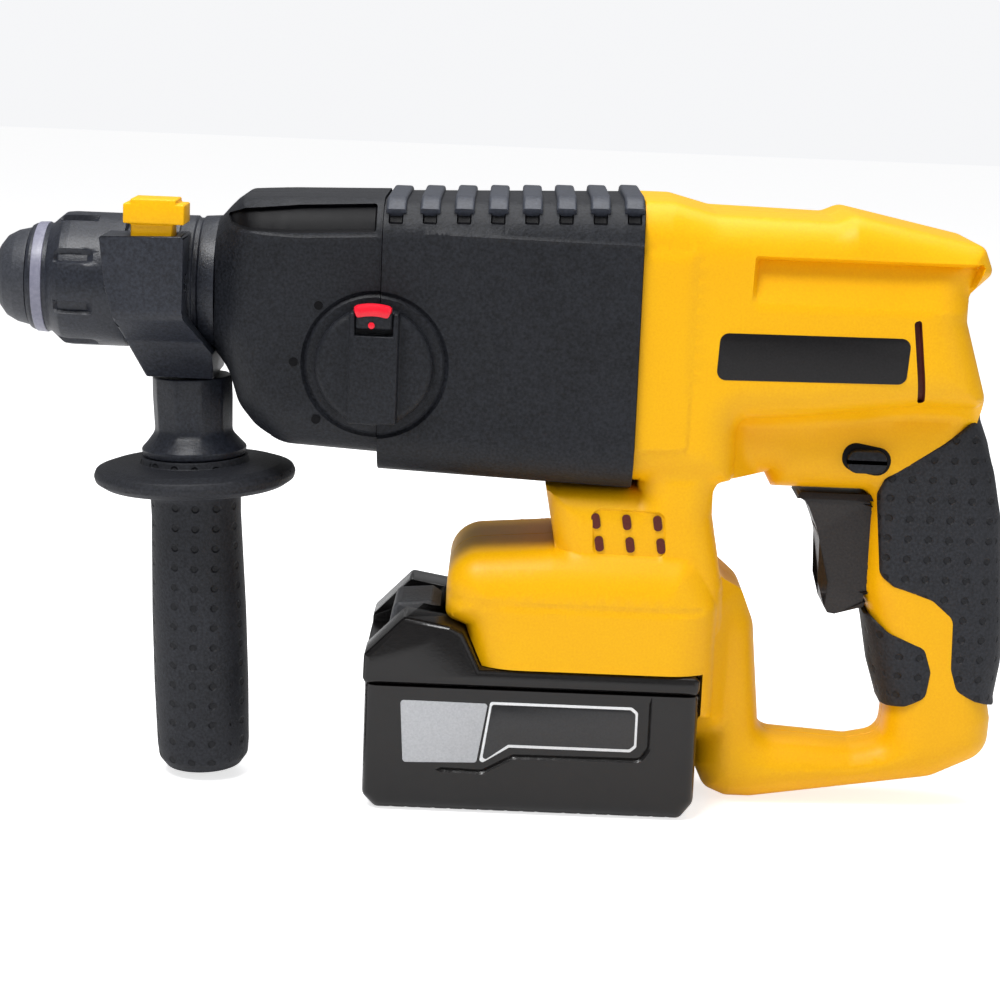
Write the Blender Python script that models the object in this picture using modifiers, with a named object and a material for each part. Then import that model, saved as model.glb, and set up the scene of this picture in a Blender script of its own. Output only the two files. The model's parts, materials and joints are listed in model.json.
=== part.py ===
"""Cordless rotary hammer with a D-handle, a slide-on battery and a side handle.

Frame: origin at the centre of the battery's bottom face, +X towards the rear hand grip,
the chuck points to -X, +Z up. All sizes below are millimetres, and every helper
turns them into metres when it makes a mesh.
"""

import math

import bmesh
import bpy
from mathutils import Matrix, Vector

MM = 0.001

# ---------------------------------------------------------------- driving dimensions (mm)
GAP = 0.3                     # clearance between solids that touch on the real tool
ROUND_STEPS = 20              # facets of a turned piece

# drive train
BARREL_Z = 174.5              # height of the spindle's axis
GEAR_MODULE = 1.0
SPINDLE_TEETH = 45
DRIVE_TEETH = 19
WHEEL_TEETH = 41
PINION_TEETH = 9
SHAFT_Z = BARREL_Z - GEAR_MODULE * (SPINDLE_TEETH + DRIVE_TEETH) / 2
MOTOR_Z = SHAFT_Z + GEAR_MODULE * (WHEEL_TEETH + PINION_TEETH) / 2

# chuck, from the nose backwards
NOSE_X = -189.0
SPINDLE_FRONT_X = -184.7
SPINDLE_REAR_X = -22.0
SPINDLE_R = 13.0
SPINDLE_NECK_R = 9.5
SPINDLE_WAIST_R = 11.2        # behind the neck, under the locking sleeve
SOCKET_R = 5.1                # takes a 10 mm shank
CYLINDER_R = 9.5
PISTON_R = CYLINDER_R - 0.4
SLEEVE_FRONT_X = -177.6
SLEEVE_REAR_X = -150.0
SLEEVE_R = 22.8
SLEEVE_TRAVEL = 7.0
COLLAR_R = 23.0
COLLAR_STEP = 3.0             # down to the neck that the locking sleeve slides over
COLLAR_NECK_R = COLLAR_R - COLLAR_STEP
COLLAR_FRONT_X = -151.0
COLLAR_SHOULDER_X = SLEEVE_REAR_X + SLEEVE_TRAVEL + 1.0
COLLAR_REAR_X = -113.2

# black covers
COVER_FRONT_X = COLLAR_REAR_X + GAP
SHROUD_FRONT_X = -56.3
SHROUD_REAR_X = 29.5
SHROUD_HALF_WIDTH = 36.0
COVER_HALF_WIDTH = 34.5
COVER_WALL = 3.0
RIB_COUNT = 8
RIB_PITCH = 11.2
RIB_WIDTH = 6.6

# yellow housing
HOUSING_WALL = 2.6
BODY_HALF_WIDTH = 33.0
COLUMN_HALF_WIDTH = 30.0
FOOT_HALF_WIDTH = 36.8
HANDLE_HALF_WIDTH = 17.0
RUBBER_SKIN = 2.2             # how far the rubber stands proud of the handle's core

# controls
DIAL_X, DIAL_Z = -57.8, 153.5
DIAL_R = 19.6
DIAL_THICK = 5.0              # from the side of the shroud out to the face
DIAL_BAR_HEIGHT = 5.0         # of the finger bar over that face
TRIGGER_HALF_WIDTH = 9.0
TRIGGER_TRAVEL = 7.0
BUTTON_TRAVEL = 3.0

# battery
BATTERY_FRONT_X = -58.0
BATTERY_REAR_X = 56.0
BATTERY_HALF_WIDTH = 37.0
TRAY_TOP_Z = 44.0
RAIL_TOP_Z = 50.9
BATTERY_WALL = 3.0
CELL_R = 9.1
CELL_LENGTH = 65.0
CELLS_PER_ROW = 5
LATCH_TRAVEL = 4.0

# side handle
HANDLE_TOP_X, HANDLE_TOP_Z = -122.8, 143.4
HANDLE_LEAN = math.radians(2.55)
NECK_R = 14.1
FLANGE_R = 35.0
GRIP_R = 16.2
GRIP_END = 142.2              # length below the saddle, along the handle's own axis
BOLT_R = 4.0

# motor
MOTOR_FRONT_X, MOTOR_REAR_X = 42.0, 98.0
MOTOR_R = 24.3


# ---------------------------------------------------------------- scene and materials
for old in list(bpy.data.objects):
    bpy.data.objects.remove(old)


def collection(name):
    """A new collection in the scene."""
    made = bpy.data.collections.new(name)
    bpy.context.scene.collection.children.link(made)
    return made


PARTS = collection("rotary_hammer")
CUTTERS = collection("cutters")
CUTTERS.hide_render = True


def material(name, colour, roughness, metallic=0.0):
    """A Principled material of one plain finish."""
    made = bpy.data.materials.new(name)
    made.use_nodes = True
    shader = made.node_tree.nodes["Principled BSDF"]
    shader.inputs["Base Color"].default_value = (*colour, 1.0)
    shader.inputs["Roughness"].default_value = roughness
    shader.inputs["Metallic"].default_value = metallic
    made.diffuse_color = (*colour, 1.0)
    return made


YELLOW = material("yellow_plastic", (0.93, 0.55, 0.005), 0.38)
BLACK = material("black_plastic", (0.022, 0.024, 0.030), 0.5)
RUBBER = material("grip_rubber", (0.028, 0.029, 0.033), 0.75)
GLOSS = material("battery_plastic", (0.012, 0.010, 0.010), 0.2)
RED = material("red_plastic", (0.80, 0.01, 0.03), 0.35)
LABEL = material("label_film", (0.55, 0.55, 0.54), 0.4)
STEEL = material("ground_steel", (0.50, 0.50, 0.52), 0.3, 1.0)
DARK_STEEL = material("blackened_steel", (0.10, 0.10, 0.11), 0.4, 1.0)
ALUMINIUM = material("cast_aluminium", (0.62, 0.62, 0.63), 0.45, 1.0)
COPPER = material("copper_winding", (0.60, 0.27, 0.12), 0.4, 1.0)
BOARD = material("circuit_board", (0.02, 0.16, 0.07), 0.5)
CELL = material("cell_wrap", (0.05, 0.20, 0.42), 0.4)


# ---------------------------------------------------------------- helpers
def metres(point):
    return Vector(point) * MM


def adopt(obj, finish):
    """Puts a finished piece in the parts' collection with its material."""
    for holder in list(obj.users_collection):
        holder.objects.unlink(obj)
    PARTS.objects.link(obj)
    obj.data.materials.clear()
    obj.data.materials.append(finish)
    if obj.type == "MESH":
        obj.data.shade_smooth()
        obj.data.set_sharp_from_angle(angle=math.radians(35))
    return obj


def as_cutter(obj):
    """Makes an object a helper that only shapes other pieces."""
    for holder in list(obj.users_collection):
        holder.objects.unlink(obj)
    CUTTERS.objects.link(obj)
    obj.hide_render = True
    obj.display_type = "WIRE"
    return obj


def mesh_object(name, bm):
    """An object in the scene from a bmesh, which is freed."""
    mesh = bpy.data.meshes.new(name)
    bm.to_mesh(mesh)
    bm.free()
    obj = bpy.data.objects.new(name, mesh)
    bpy.context.scene.collection.objects.link(obj)
    return obj


def box(name, low, high):
    """A box between two corners in mm."""
    low, high = Vector(low), Vector(high)
    bm = bmesh.new()
    place = Matrix.Translation((low + high) / 2 * MM)
    size = Matrix.Diagonal((*((high - low) * MM), 1.0))
    bmesh.ops.create_cube(bm, size=1.0, matrix=place @ size)
    return mesh_object(name, bm)


ALONG = {
    "X": Matrix.Rotation(math.radians(90), 4, "Y"),
    "Y": Matrix.Rotation(math.radians(-90), 4, "X"),
    "Z": Matrix.Identity(4),
}


YZ_PLANE = Matrix(((0, 0, 1, 0), (1, 0, 0, 0), (0, 1, 0, 0), (0, 0, 0, 1)))


def turned(name, outer, inner=(), axis="X", centre=(0, 0, 0), steps=ROUND_STEPS):
    """A turned piece: outer and inner are (place along the axis, radius), both in rising order."""
    outer, inner = list(outer), list(inner)
    if inner:
        ring = outer[::-1] + inner
    else:
        ring = [(outer[-1][0], 0.0), *outer[::-1], (outer[0][0], 0.0)]
    bm = bmesh.new()
    points = [bm.verts.new((radius * MM, 0, along * MM)) for along, radius in ring]
    for start, end in zip(points, points[1:]):
        bm.edges.new((start, end))
    if inner:
        bm.edges.new((points[-1], points[0]))
    obj = mesh_object(name, bm)
    obj.matrix_world = Matrix.Translation(metres(centre)) @ ALONG[axis]
    screw = obj.modifiers.new("turn", "SCREW")
    screw.steps = screw.render_steps = steps
    screw.use_merge_vertices = True
    screw.merge_threshold = 0.00005
    return obj


def cylinder(name, low, high, radius, axis="X", centre=(0, 0, 0), steps=ROUND_STEPS):
    """A plain cylinder from low to high along an axis."""
    return turned(name, [(low, radius), (high, radius)], (), axis, centre, steps)


def rounded(corners, steps=2):
    """Outline points from corners (x, z, radius), each round stretch an arc."""
    made = []
    count = len(corners)
    for index, (x, z, radius) in enumerate(corners):
        here = Vector((x, z))
        if radius <= 0:
            made.append(here)
            continue
        before = (Vector(corners[index - 1][:2]) - here).normalized()
        after = (Vector(corners[(index + 1) % count][:2]) - here).normalized()
        half = before.angle(after) / 2
        reach = radius / math.tan(half)
        middle = here + (before + after).normalized() * (radius / math.sin(half))
        start = here + before * reach - middle
        sweep = start.angle_signed(here + after * reach - middle)
        for step in range(steps + 1):
            turn = Matrix.Rotation(-sweep * step / steps, 2)
            made.append(middle + turn @ start)
    return [(point.x, point.y) for point in made]


def offset(corners, distance):
    """The same corners moved in by a distance, or out if it is negative; arcs keep their centres."""
    count = len(corners)
    area = sum(
        corners[i][0] * corners[(i + 1) % count][1] - corners[(i + 1) % count][0] * corners[i][1]
        for i in range(count)
    )
    side = 1.0 if area > 0 else -1.0
    made = []
    for index, (x, z, radius) in enumerate(corners):
        here = Vector((x, z))
        back = (here - Vector(corners[index - 1][:2])).normalized()
        ahead = (Vector(corners[(index + 1) % count][:2]) - here).normalized()
        inward = Vector((-back.y - ahead.y, back.x + ahead.x)) * side
        inward.normalize()
        normal = Vector((-back.y, back.x)) * side
        moved = here + inward * (distance / inward.dot(normal))
        convex = (back.x * ahead.y - back.y * ahead.x) * side > 0
        new_radius = radius - distance if convex else radius + distance
        made.append((moved.x, moved.y, max(new_radius, 0.0)))
    return made


def meshed(obj):
    """A mesh object from a curve object, with its caps welded."""
    graph = bpy.context.evaluated_depsgraph_get()
    mesh = bpy.data.meshes.new_from_object(obj.evaluated_get(graph))
    bm = bmesh.new()
    bm.from_mesh(mesh)
    bmesh.ops.remove_doubles(bm, verts=bm.verts, dist=1e-6)
    bmesh.ops.dissolve_limit(bm, angle_limit=0.001, verts=bm.verts, edges=bm.edges)
    bm.to_mesh(mesh)
    bm.free()
    solid = bpy.data.objects.new(obj.name + "_solid", mesh)
    bpy.context.scene.collection.objects.link(solid)
    solid.matrix_world = obj.matrix_world.copy()
    name = obj.name
    bpy.data.objects.remove(obj)
    solid.name = name
    return solid


def extruded(name, outline, low, high, holes=(), plane="XZ"):
    """A flat outline with thickness: in plane XZ along Y from low to high, or in YZ along X."""
    curve = bpy.data.curves.new(name, "CURVE")
    curve.dimensions = "2D"
    curve.fill_mode = "BOTH"
    curve.extrude = (high - low) / 2 * MM
    for points in (outline, *holes):
        spline = curve.splines.new("POLY")
        spline.points.add(len(points) - 1)
        for point, (x, z) in zip(spline.points, points):
            point.co = (x * MM, z * MM, 0, 1)
        spline.use_cyclic_u = True
    obj = bpy.data.objects.new(name, curve)
    bpy.context.scene.collection.objects.link(obj)
    middle = (low + high) / 2 * MM
    if plane == "XZ":
        obj.matrix_world = Matrix.Translation((0, middle, 0)) @ Matrix.Rotation(math.pi / 2, 4, "X")
    else:
        obj.matrix_world = Matrix.Translation((middle, 0, 0)) @ YZ_PLANE
    bpy.context.view_layer.update()
    return meshed(obj)


def bevelled(obj, width, segments=1, angle=50):
    """Rounds the edges of a piece that are sharper than an angle."""
    bevel = obj.modifiers.new("round", "BEVEL")
    bevel.width = width * MM
    bevel.segments = segments
    bevel.limit_method = "ANGLE"
    bevel.angle_limit = math.radians(angle)
    return obj


def boolean(obj, other, operation):
    """Adds a Boolean with another object, which becomes a helper."""
    step = obj.modifiers.new(other.name, "BOOLEAN")
    step.operation = operation
    step.solver = "EXACT"
    step.object = as_cutter(other)
    return obj


def cut(obj, *others):
    for other in others:
        boolean(obj, other, "DIFFERENCE")
    return obj


def join(obj, *others):
    for other in others:
        boolean(obj, other, "UNION")
    return obj


def loft(name, sections, capped=True):
    """A skin through sections of equal point count, each a list of (x, y, z) in mm, front first."""
    bm = bmesh.new()
    rings = [[bm.verts.new(metres(point)) for point in section] for section in sections]
    count = len(rings[0])
    for front, rear in zip(rings, rings[1:]):
        for i in range(count):
            bm.faces.new((front[i], front[(i + 1) % count], rear[(i + 1) % count], rear[i]))
    if capped:
        bm.faces.new(rings[0][::-1])
        bm.faces.new(rings[-1])
    bmesh.ops.recalc_face_normals(bm, faces=bm.faces)
    return mesh_object(name, bm)


def pivot(name, location, parent=None):
    """An empty on a joint's axis."""
    empty = bpy.data.objects.new(name, None)
    empty.location = metres(location)
    PARTS.objects.link(empty)
    bpy.context.view_layer.update()
    if parent:
        ride(empty, parent)
    return empty


def ride(obj, parent):
    """Parents an object to a pivot without moving it."""
    bpy.context.view_layer.update()
    obj.parent = parent
    obj.matrix_parent_inverse = parent.matrix_world.inverted()
    return obj


# ---------------------------------------------------------------- side-view outlines, (x, z, corner radius)
BODY_OUTLINE = [
    (SHROUD_REAR_X + GAP, 116, 0), (SHROUD_REAR_X + GAP, 210.4, 0), (40, 210.4, 8), (54, 206.8, 8),
    (93.5, 206, 6), (99.5, 208.6, 6), (143.6, 199.6, 4), (147, 191, 3.6), (139.4, 183.5, 5),
    (139.4, 174.5, 6), (148.6, 145, 4), (125, 145.2, 8), (88, 140.2, 8), (64.5, 138.4, 4),
    (64.5, 116, 4),
]
COLUMN_OUTLINE = [
    (0.8, 112.7, 0), (SHROUD_REAR_X + 2.8, 112.7, 0), (SHROUD_REAR_X + 2.8, 126, 0), (64, 126, 4),
    (59, 112, 6), (58, 104, 6), (63, 80, 6), (63, 62, 4), (6, 62, 4), (6, 86, 4),
]
FOOT_OUTLINE = [
    (-18.4, RAIL_TOP_Z + GAP, 0), (-24.6, 63.9, 0), (-31.6, 66.5, 3.6), (-31.4, 88.6, 13),
    (4, 91.5, 8), (52, 91, 8), (61, 74, 8), (61, RAIL_TOP_Z + GAP, 0),
]
HANDLE_OUTLINE = [
    (50, 148, 0), (50, RAIL_TOP_Z + GAP, 0), (57, RAIL_TOP_Z + GAP, 0), (57, 13, 4),
    (61.5, 3.5, 5), (69, 0.4, 6), (78, 0.4, 10), (141.5, 10.4, 14), (160.8, 20, 12),
    (161.2, 33, 4), (159.5, 41, 5), (161.2, 54, 30), (160.8, 68, 30), (157.4, 104, 30),
    (154, 120, 20), (147.4, 138, 8), (147.4, 148, 0),
]
OPENING_OUTLINE = [
    (57.3, 117.5, 5), (57.8, 106, 8), (62, 83, 6), (70.5, 77, 7), (75.8, 64, 14), (79, 34, 12),
    (80, 23.5, 6), (112, 21.5, 6), (123.6, 24, 6), (124.2, 36.5, 0), (116.4, 67.5, 5),
    (113.3, 78, 12), (113.2, 112.8, 3.5), (79.0, 112.8, 0), (76.5, 117.5, 0),
]
REAR_RUBBER_OUTLINE = [
    (149.0, 141.2, 0), (153.3, 130.7, 8), (159.3, 106, 20), (162.7, 76, 30), (163.4, 54, 30),
    (161.9, 38.0, 1), (153.6, 40.7, 3), (146.5, 44.5, 4), (144, 52.2, 8), (143.4, 70, 4),
    (136, 76.3, 5), (122.5, 80.8, 3), (117.6, 84.5, 4), (115.0, 113, 4), (116.7, 118.6, 4),
    (128.1, 126.4, 8), (137.8, 133.1, 8),
]
FRONT_RUBBER_OUTLINE = [
    (113.9, 69.1, 0), (117.4, 50.3, 20), (122.0, 36.7, 0), (129.4, 37.9, 4), (136.4, 41.6, 4),
    (137.6, 51, 4), (134.8, 59.5, 4), (122.3, 63.8, 6), (116.4, 68.6, 1),
]


# ---------------------------------------------------------------- yellow housing
SCREWS = [                     # x, z and the half width of the wall that the head sits in
    (37.5, 200.5, BODY_HALF_WIDTH),
    (130.0, 190.5, BODY_HALF_WIDTH),
    (90.0, 122.5, HANDLE_HALF_WIDTH),
    (140.2, 27.4, HANDLE_HALF_WIDTH),
    (52.8, 74.0, FOOT_HALF_WIDTH),
    (-23.8, 77.0, FOOT_HALF_WIDTH),
]
BOSS_R = 4.2
SCREW_HOLE_R = 2.0
HEAD_POCKET_R = 3.8
HEAD_POCKET_DEPTH = 3.0


def housing_solid(name, grow=0.0):
    """The outside of one housing half, from the middle plane to its side at -Y, grown by an amount."""
    side = {
        "body": (offset(BODY_OUTLINE, -grow), BODY_HALF_WIDTH),
        "column": (offset(COLUMN_OUTLINE, -grow), COLUMN_HALF_WIDTH),
        "foot": (offset(FOOT_OUTLINE, -grow), FOOT_HALF_WIDTH),
    }
    whole = extruded(
        name,
        rounded(offset(HANDLE_OUTLINE, -grow)),
        -HANDLE_HALF_WIDTH - grow,
        HANDLE_HALF_WIDTH + grow,
        [rounded(offset(OPENING_OUTLINE, grow))],
    )
    bevelled(whole, 3.0)
    for region, (corners, half_width) in side.items():
        block = extruded(f"{name}_{region}", rounded(corners), -half_width - grow, half_width + grow)
        join(whole, bevelled(block, 3.0))
    return whole


def housing_cavity(name):
    """The hollow inside both halves."""
    inner = offset(BODY_OUTLINE, HOUSING_WALL)
    front = SHROUD_REAR_X - 8
    opened = [(front, z, 0) if x < SHROUD_REAR_X + 2 * HOUSING_WALL else (x, z, r) for x, z, r in inner]
    hollow = extruded(
        name, rounded(opened), -BODY_HALF_WIDTH + HOUSING_WALL, BODY_HALF_WIDTH - HOUSING_WALL
    )
    for region, corners, half_width in (
        ("column", COLUMN_OUTLINE, COLUMN_HALF_WIDTH),
        ("foot", FOOT_OUTLINE, FOOT_HALF_WIDTH),
    ):
        reach = half_width - HOUSING_WALL
        join(hollow, extruded(f"{name}_{region}", rounded(offset(corners, HOUSING_WALL)), -reach, reach))
    reach = HANDLE_HALF_WIDTH - HOUSING_WALL
    loop = extruded(
        f"{name}_handle",
        rounded(offset(HANDLE_OUTLINE, HOUSING_WALL)),
        -reach,
        reach,
        [rounded(offset(OPENING_OUTLINE, -HOUSING_WALL))],
    )
    return join(hollow, loop)


VENT_COLUMNS, VENT_ROWS = 3, 2
VENT_PITCH_X, VENT_PITCH_Z = 10.5, 8.0
VENT_X, VENT_Z = 18.5, 95.0
VENT_WIDTH, VENT_HEIGHT = 2.6, 5.2


def housing_openings(name, side):
    """Everything that is cut through one housing half; side is -1 for the left half, 1 for the right."""
    near, far = sorted((side * 20.0, side * 40.0))
    cutters = []
    for row in range(VENT_ROWS):
        for column in range(VENT_COLUMNS):
            x = VENT_X + column * VENT_PITCH_X
            z = VENT_Z + row * VENT_PITCH_Z
            cutters.append(
                box(
                    f"{name}_vent_{row}{column}",
                    (x - VENT_WIDTH / 2, near, z - VENT_HEIGHT / 2),
                    (x + VENT_WIDTH / 2, far, z + VENT_HEIGHT / 2),
                )
            )
    slot = [(119.9, 175.2), (122.5, 175.2), (126.3, 147.5), (123.7, 147.5)]
    cutters.append(extruded(f"{name}_rear_vent", slot, near, far))
    cutters.append(box(f"{name}_terminals", (2, -17, 49), (32, 17, 56)))
    reach = TRIGGER_HALF_WIDTH + 0.5
    cutters.append(box(f"{name}_trigger", (112, -reach, 67.0), (134, reach, 111.8)))
    button = rounded([(102.6, 120.4, 3.5), (117, 120.4, 3.5), (117, 129, 3.5), (102.6, 129, 3.5)], 3)
    cutters.append(extruded(f"{name}_button", button, -30, 30))
    return cutters


def screw_bosses(name, side):
    """Posts from the side wall to the middle plane at each screw."""
    posts = []
    for number, (x, z, half_width) in enumerate(SCREWS):
        low, high = sorted((side * (GAP / 2), side * (half_width - 1.0)))
        posts.append(cylinder(f"{name}_boss_{number}", low, high, BOSS_R, "Y", (x, 0, z), 10))
    return posts


def screw_holes(name, side):
    """Screw holes; the right half also gets pockets for the heads."""
    holes = []
    for number, (x, z, half_width) in enumerate(SCREWS):
        if side > 0:
            low, high = -1.0, half_width + 1.0
            pocket_floor = half_width - HEAD_POCKET_DEPTH
            profile = [(low, SCREW_HOLE_R), (pocket_floor, SCREW_HOLE_R),
                       (pocket_floor, HEAD_POCKET_R), (high, HEAD_POCKET_R)]
        else:
            profile = [(-10.0, SCREW_HOLE_R), (1.0, SCREW_HOLE_R)]
        holes.append(turned(f"{name}_hole_{number}", profile, (), "Y", (x, 0, z), 10))
    return holes


def housing_half(name, side):
    """One half of the clamshell; side is -1 for the left half."""
    shell = housing_solid(name)
    halving = box(f"{name}_other_half", *sorted_corners((-80, -side * 60, -20), (200, side * GAP / 2, 240)))
    cut(shell, halving, housing_cavity(f"{name}_hollow"))
    join(shell, *screw_bosses(name, side))
    cut(shell, *screw_holes(name, side), *housing_openings(name, side))
    return adopt(shell, YELLOW)


def sorted_corners(first, second):
    """The lowest and highest corner of a box given by any two opposite corners."""
    low = tuple(min(a, b) for a, b in zip(first, second))
    high = tuple(max(a, b) for a, b in zip(first, second))
    return low, high


housing_left = housing_half("housing_left", -1)
housing_right = housing_half("housing_right", 1)

for number, (x, z, half_width) in enumerate(SCREWS, 1):
    head = half_width - HEAD_POCKET_DEPTH + GAP
    screw = turned(
        f"housing_screw_{number}",
        [(-6, 1.5), (head, 1.5), (head, 3.3), (head + 2.2, 3.3)],
        (), "Y", (x, 0, z), 12,
    )
    adopt(screw, DARK_STEEL)


# ---------------------------------------------------------------- rubber on the D-handle
def overmould(name, corners):
    """A rubber skin that wraps both sides and the edge of the handle's core."""
    reach = HANDLE_HALF_WIDTH + RUBBER_SKIN
    skin = bevelled(extruded(name, rounded(corners, 3), -reach, reach), 1.2, 1)
    core = extruded(
        f"{name}_core",
        rounded(offset(HANDLE_OUTLINE, -GAP)),
        -HANDLE_HALF_WIDTH - GAP,
        HANDLE_HALF_WIDTH + GAP,
        [rounded(offset(OPENING_OUTLINE, GAP))],
    )
    return adopt(cut(skin, core), RUBBER)


rear_grip_overmould = overmould("rear_grip_overmould", REAR_RUBBER_OUTLINE)
front_grip_overmould = overmould("front_grip_overmould", FRONT_RUBBER_OUTLINE)


# ---------------------------------------------------------------- black covers
def section(x, z_low, z_high, half_width, radius, steps=3):
    """A rounded rectangle across the tool at one x."""
    corners = [
        (-half_width, z_low, radius), (half_width, z_low, radius),
        (half_width, z_high, radius), (-half_width, z_high, radius),
    ]
    return [(x, y, z) for y, z in rounded(corners, steps)]


SHROUD_SECTIONS = [             # x, bottom, top
    (SHROUD_FRONT_X, 116.6, 207.2),
    (SHROUD_REAR_X, 113.2, 210.2),
]
COVER_SECTIONS = [              # x, bottom, top, half width, corner radius
    (COVER_FRONT_X, 151.4, 197.6, 22.0, 20.0),
    (-108.6, 146.6, 202.4, 26.0, 20.0),
    (-104.6, 136.0, 206.3, 31.0, 18.0),
    (-98.5, 129.2, 206.6, 33.0, 17.0),
    (-89.5, 123.6, 207.0, COVER_HALF_WIDTH, 16.0),
    (SHROUD_FRONT_X - GAP, 121.8, 208.0, COVER_HALF_WIDTH, 15.0),
]
COVER_HOLE_R = SPINDLE_R + 1.5
DIAL_SHAFT_R = 5.0
DIAL_BACK_Y = -SHROUD_HALF_WIDTH - GAP
DIAL_FACE_Y = -SHROUD_HALF_WIDTH - DIAL_THICK
DIAL_BAR_Y = DIAL_FACE_Y - DIAL_BAR_HEIGHT
SHROUD_CORNER_R = 15.0


def shell_of(name, rings, wall, front_open, rear_open):
    """A lofted cover: its outside through the rings, hollowed to a wall, open where stated."""
    outside = loft(name, [section(*ring) for ring in rings])
    inside = []
    last = len(rings) - 1
    for index, (x, z_low, z_high, half_width, radius) in enumerate(rings):
        if index == 0:
            x += -5.0 if front_open else wall
        if index == last:
            x += 5.0 if rear_open else -wall
        inside.append((x, z_low + wall, z_high - wall, half_width - wall, radius - wall))
    return cut(outside, loft(f"{name}_hollow", [section(*ring) for ring in inside]))


def ribbed_shroud_piece():
    rings = [(x, low, high, SHROUD_HALF_WIDTH, SHROUD_CORNER_R) for x, low, high in SHROUD_SECTIONS]
    shell = shell_of("ribbed_shroud", rings, COVER_WALL, True, True)
    (front_x, _, front_top), (rear_x, _, rear_top) = SHROUD_SECTIONS
    for number in range(RIB_COUNT):
        x = SHROUD_FRONT_X + 4.0 + number * RIB_PITCH
        top = front_top + (rear_top - front_top) * (x - front_x) / (rear_x - front_x)
        rib = box(
            f"rib_{number}", (x - RIB_WIDTH / 2, -22, top - 2.0), (x + RIB_WIDTH / 2, 22, top + 1.8)
        )
        join(shell, rib)
    return cut(shell, dial_hole("shroud_dial_hole"))


def dial_hole(name):
    return cylinder(name, DIAL_FACE_Y - 4, -20, DIAL_SHAFT_R + 0.6, "Y", (DIAL_X, 0, DIAL_Z), 16)


ribbed_shroud = adopt(ribbed_shroud_piece(), BLACK)
gear_cover = shell_of("gear_cover", COVER_SECTIONS, COVER_WALL, False, True)
cut(
    gear_cover,
    cylinder("cover_hole", COVER_FRONT_X - 5, COVER_FRONT_X + 8, COVER_HOLE_R, "X", (0, 0, BARREL_Z)),
    dial_hole("cover_dial_hole"),
)
adopt(gear_cover, BLACK)

nose_collar = turned(
    "nose_collar",
    [(COLLAR_FRONT_X, COLLAR_NECK_R - 1), (COLLAR_FRONT_X + 1, COLLAR_NECK_R),
     (COLLAR_SHOULDER_X, COLLAR_NECK_R), (COLLAR_SHOULDER_X, COLLAR_R), (COLLAR_REAR_X, COLLAR_R)],
    [(COLLAR_FRONT_X, SPINDLE_R + 0.5), (COLLAR_FRONT_X + 2, SPINDLE_R + 0.5),
     (COLLAR_FRONT_X + 2, SPINDLE_R + 1.4), (COLLAR_REAR_X, SPINDLE_R + 1.4)],
    "X", (0, 0, BARREL_Z), 24,
)
adopt(nose_collar, ALUMINIUM)


# ---------------------------------------------------------------- chuck and hammer mechanism
barrel = (0, 0, BARREL_Z)
spindle_pivot = pivot("spindle_axis", barrel)
sleeve_pivot = pivot("sleeve_axis", barrel, spindle_pivot)
BALL_X = -166.0
BALL_R = 3.4
BALL_SEAT = SOCKET_R + BALL_R + 0.1


def gear(name, teeth, low, high, bore, centre, tooth_up):
    """A spur gear across X; tooth_up puts a tooth at +Z, else a gap sits at -Z."""
    pitch_r = GEAR_MODULE * teeth / 2
    tip, root = pitch_r + 0.6 * GEAR_MODULE, pitch_r - 0.95 * GEAR_MODULE
    step = 2 * math.pi / teeth
    start = math.pi / 2 if tooth_up else -math.pi / 2 + step / 2
    outline = []
    for tooth in range(teeth):
        middle = start + tooth * step
        for radius, share in ((root, -0.27), (tip, -0.11), (tip, 0.11), (root, 0.27)):
            angle = middle + share * step
            outline.append((radius * math.cos(angle), radius * math.sin(angle)))
    ring = [
        (bore * math.cos(2 * math.pi * i / 24), bore * math.sin(2 * math.pi * i / 24))
        for i in range(24)
    ]
    wheel = extruded(name, outline, low, high, [ring], plane="YZ")
    wheel.location += metres(centre)
    return wheel


spindle = turned(
    "spindle",
    [(SPINDLE_FRONT_X, SPINDLE_NECK_R - 1), (SPINDLE_FRONT_X + 1, SPINDLE_NECK_R),
     (-172, SPINDLE_NECK_R), (-171, SPINDLE_WAIST_R), (-156.6, SPINDLE_WAIST_R), (-155.8, SPINDLE_R),
     (SPINDLE_REAR_X, SPINDLE_R)],
    [(SPINDLE_FRONT_X, SOCKET_R), (-146, SOCKET_R), (-145, CYLINDER_R), (SPINDLE_REAR_X, CYLINDER_R)],
    "X", barrel,
)
ball_hole = cylinder("ball_hole", -14, 14, BALL_R + 0.35, "Z", (BALL_X, 0, BARREL_Z), 16)
adopt(cut(spindle, ball_hole), STEEL)
spindle_gear = adopt(
    gear("spindle_gear", SPINDLE_TEETH, -42, -34, SPINDLE_R + GAP, barrel, False), STEEL
)
dust_cap = turned(
    "dust_cap",
    [(NOSE_X, 9.4), (-188.2, 10.9), (-186, 13.8), (-182.5, 15.7), (-177.9, 16.8)],
    [(NOSE_X, SOCKET_R + GAP), (-185.2, SOCKET_R + GAP), (-185.2, SPINDLE_NECK_R + GAP),
     (-177.9, SPINDLE_NECK_R + GAP)],
    "X", barrel,
)
adopt(dust_cap, RUBBER)
for piece in (spindle, spindle_gear, dust_cap):
    ride(piece, spindle_pivot)
for label, way in (("upper", 1), ("lower", -1)):
    bm = bmesh.new()
    bmesh.ops.create_uvsphere(bm, u_segments=10, v_segments=6, radius=BALL_R * MM)
    ball = mesh_object(f"locking_ball_{label}", bm)
    ball.location = metres((BALL_X, 0, BARREL_Z + way * BALL_SEAT))
    ride(adopt(ball, STEEL), spindle_pivot)

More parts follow.
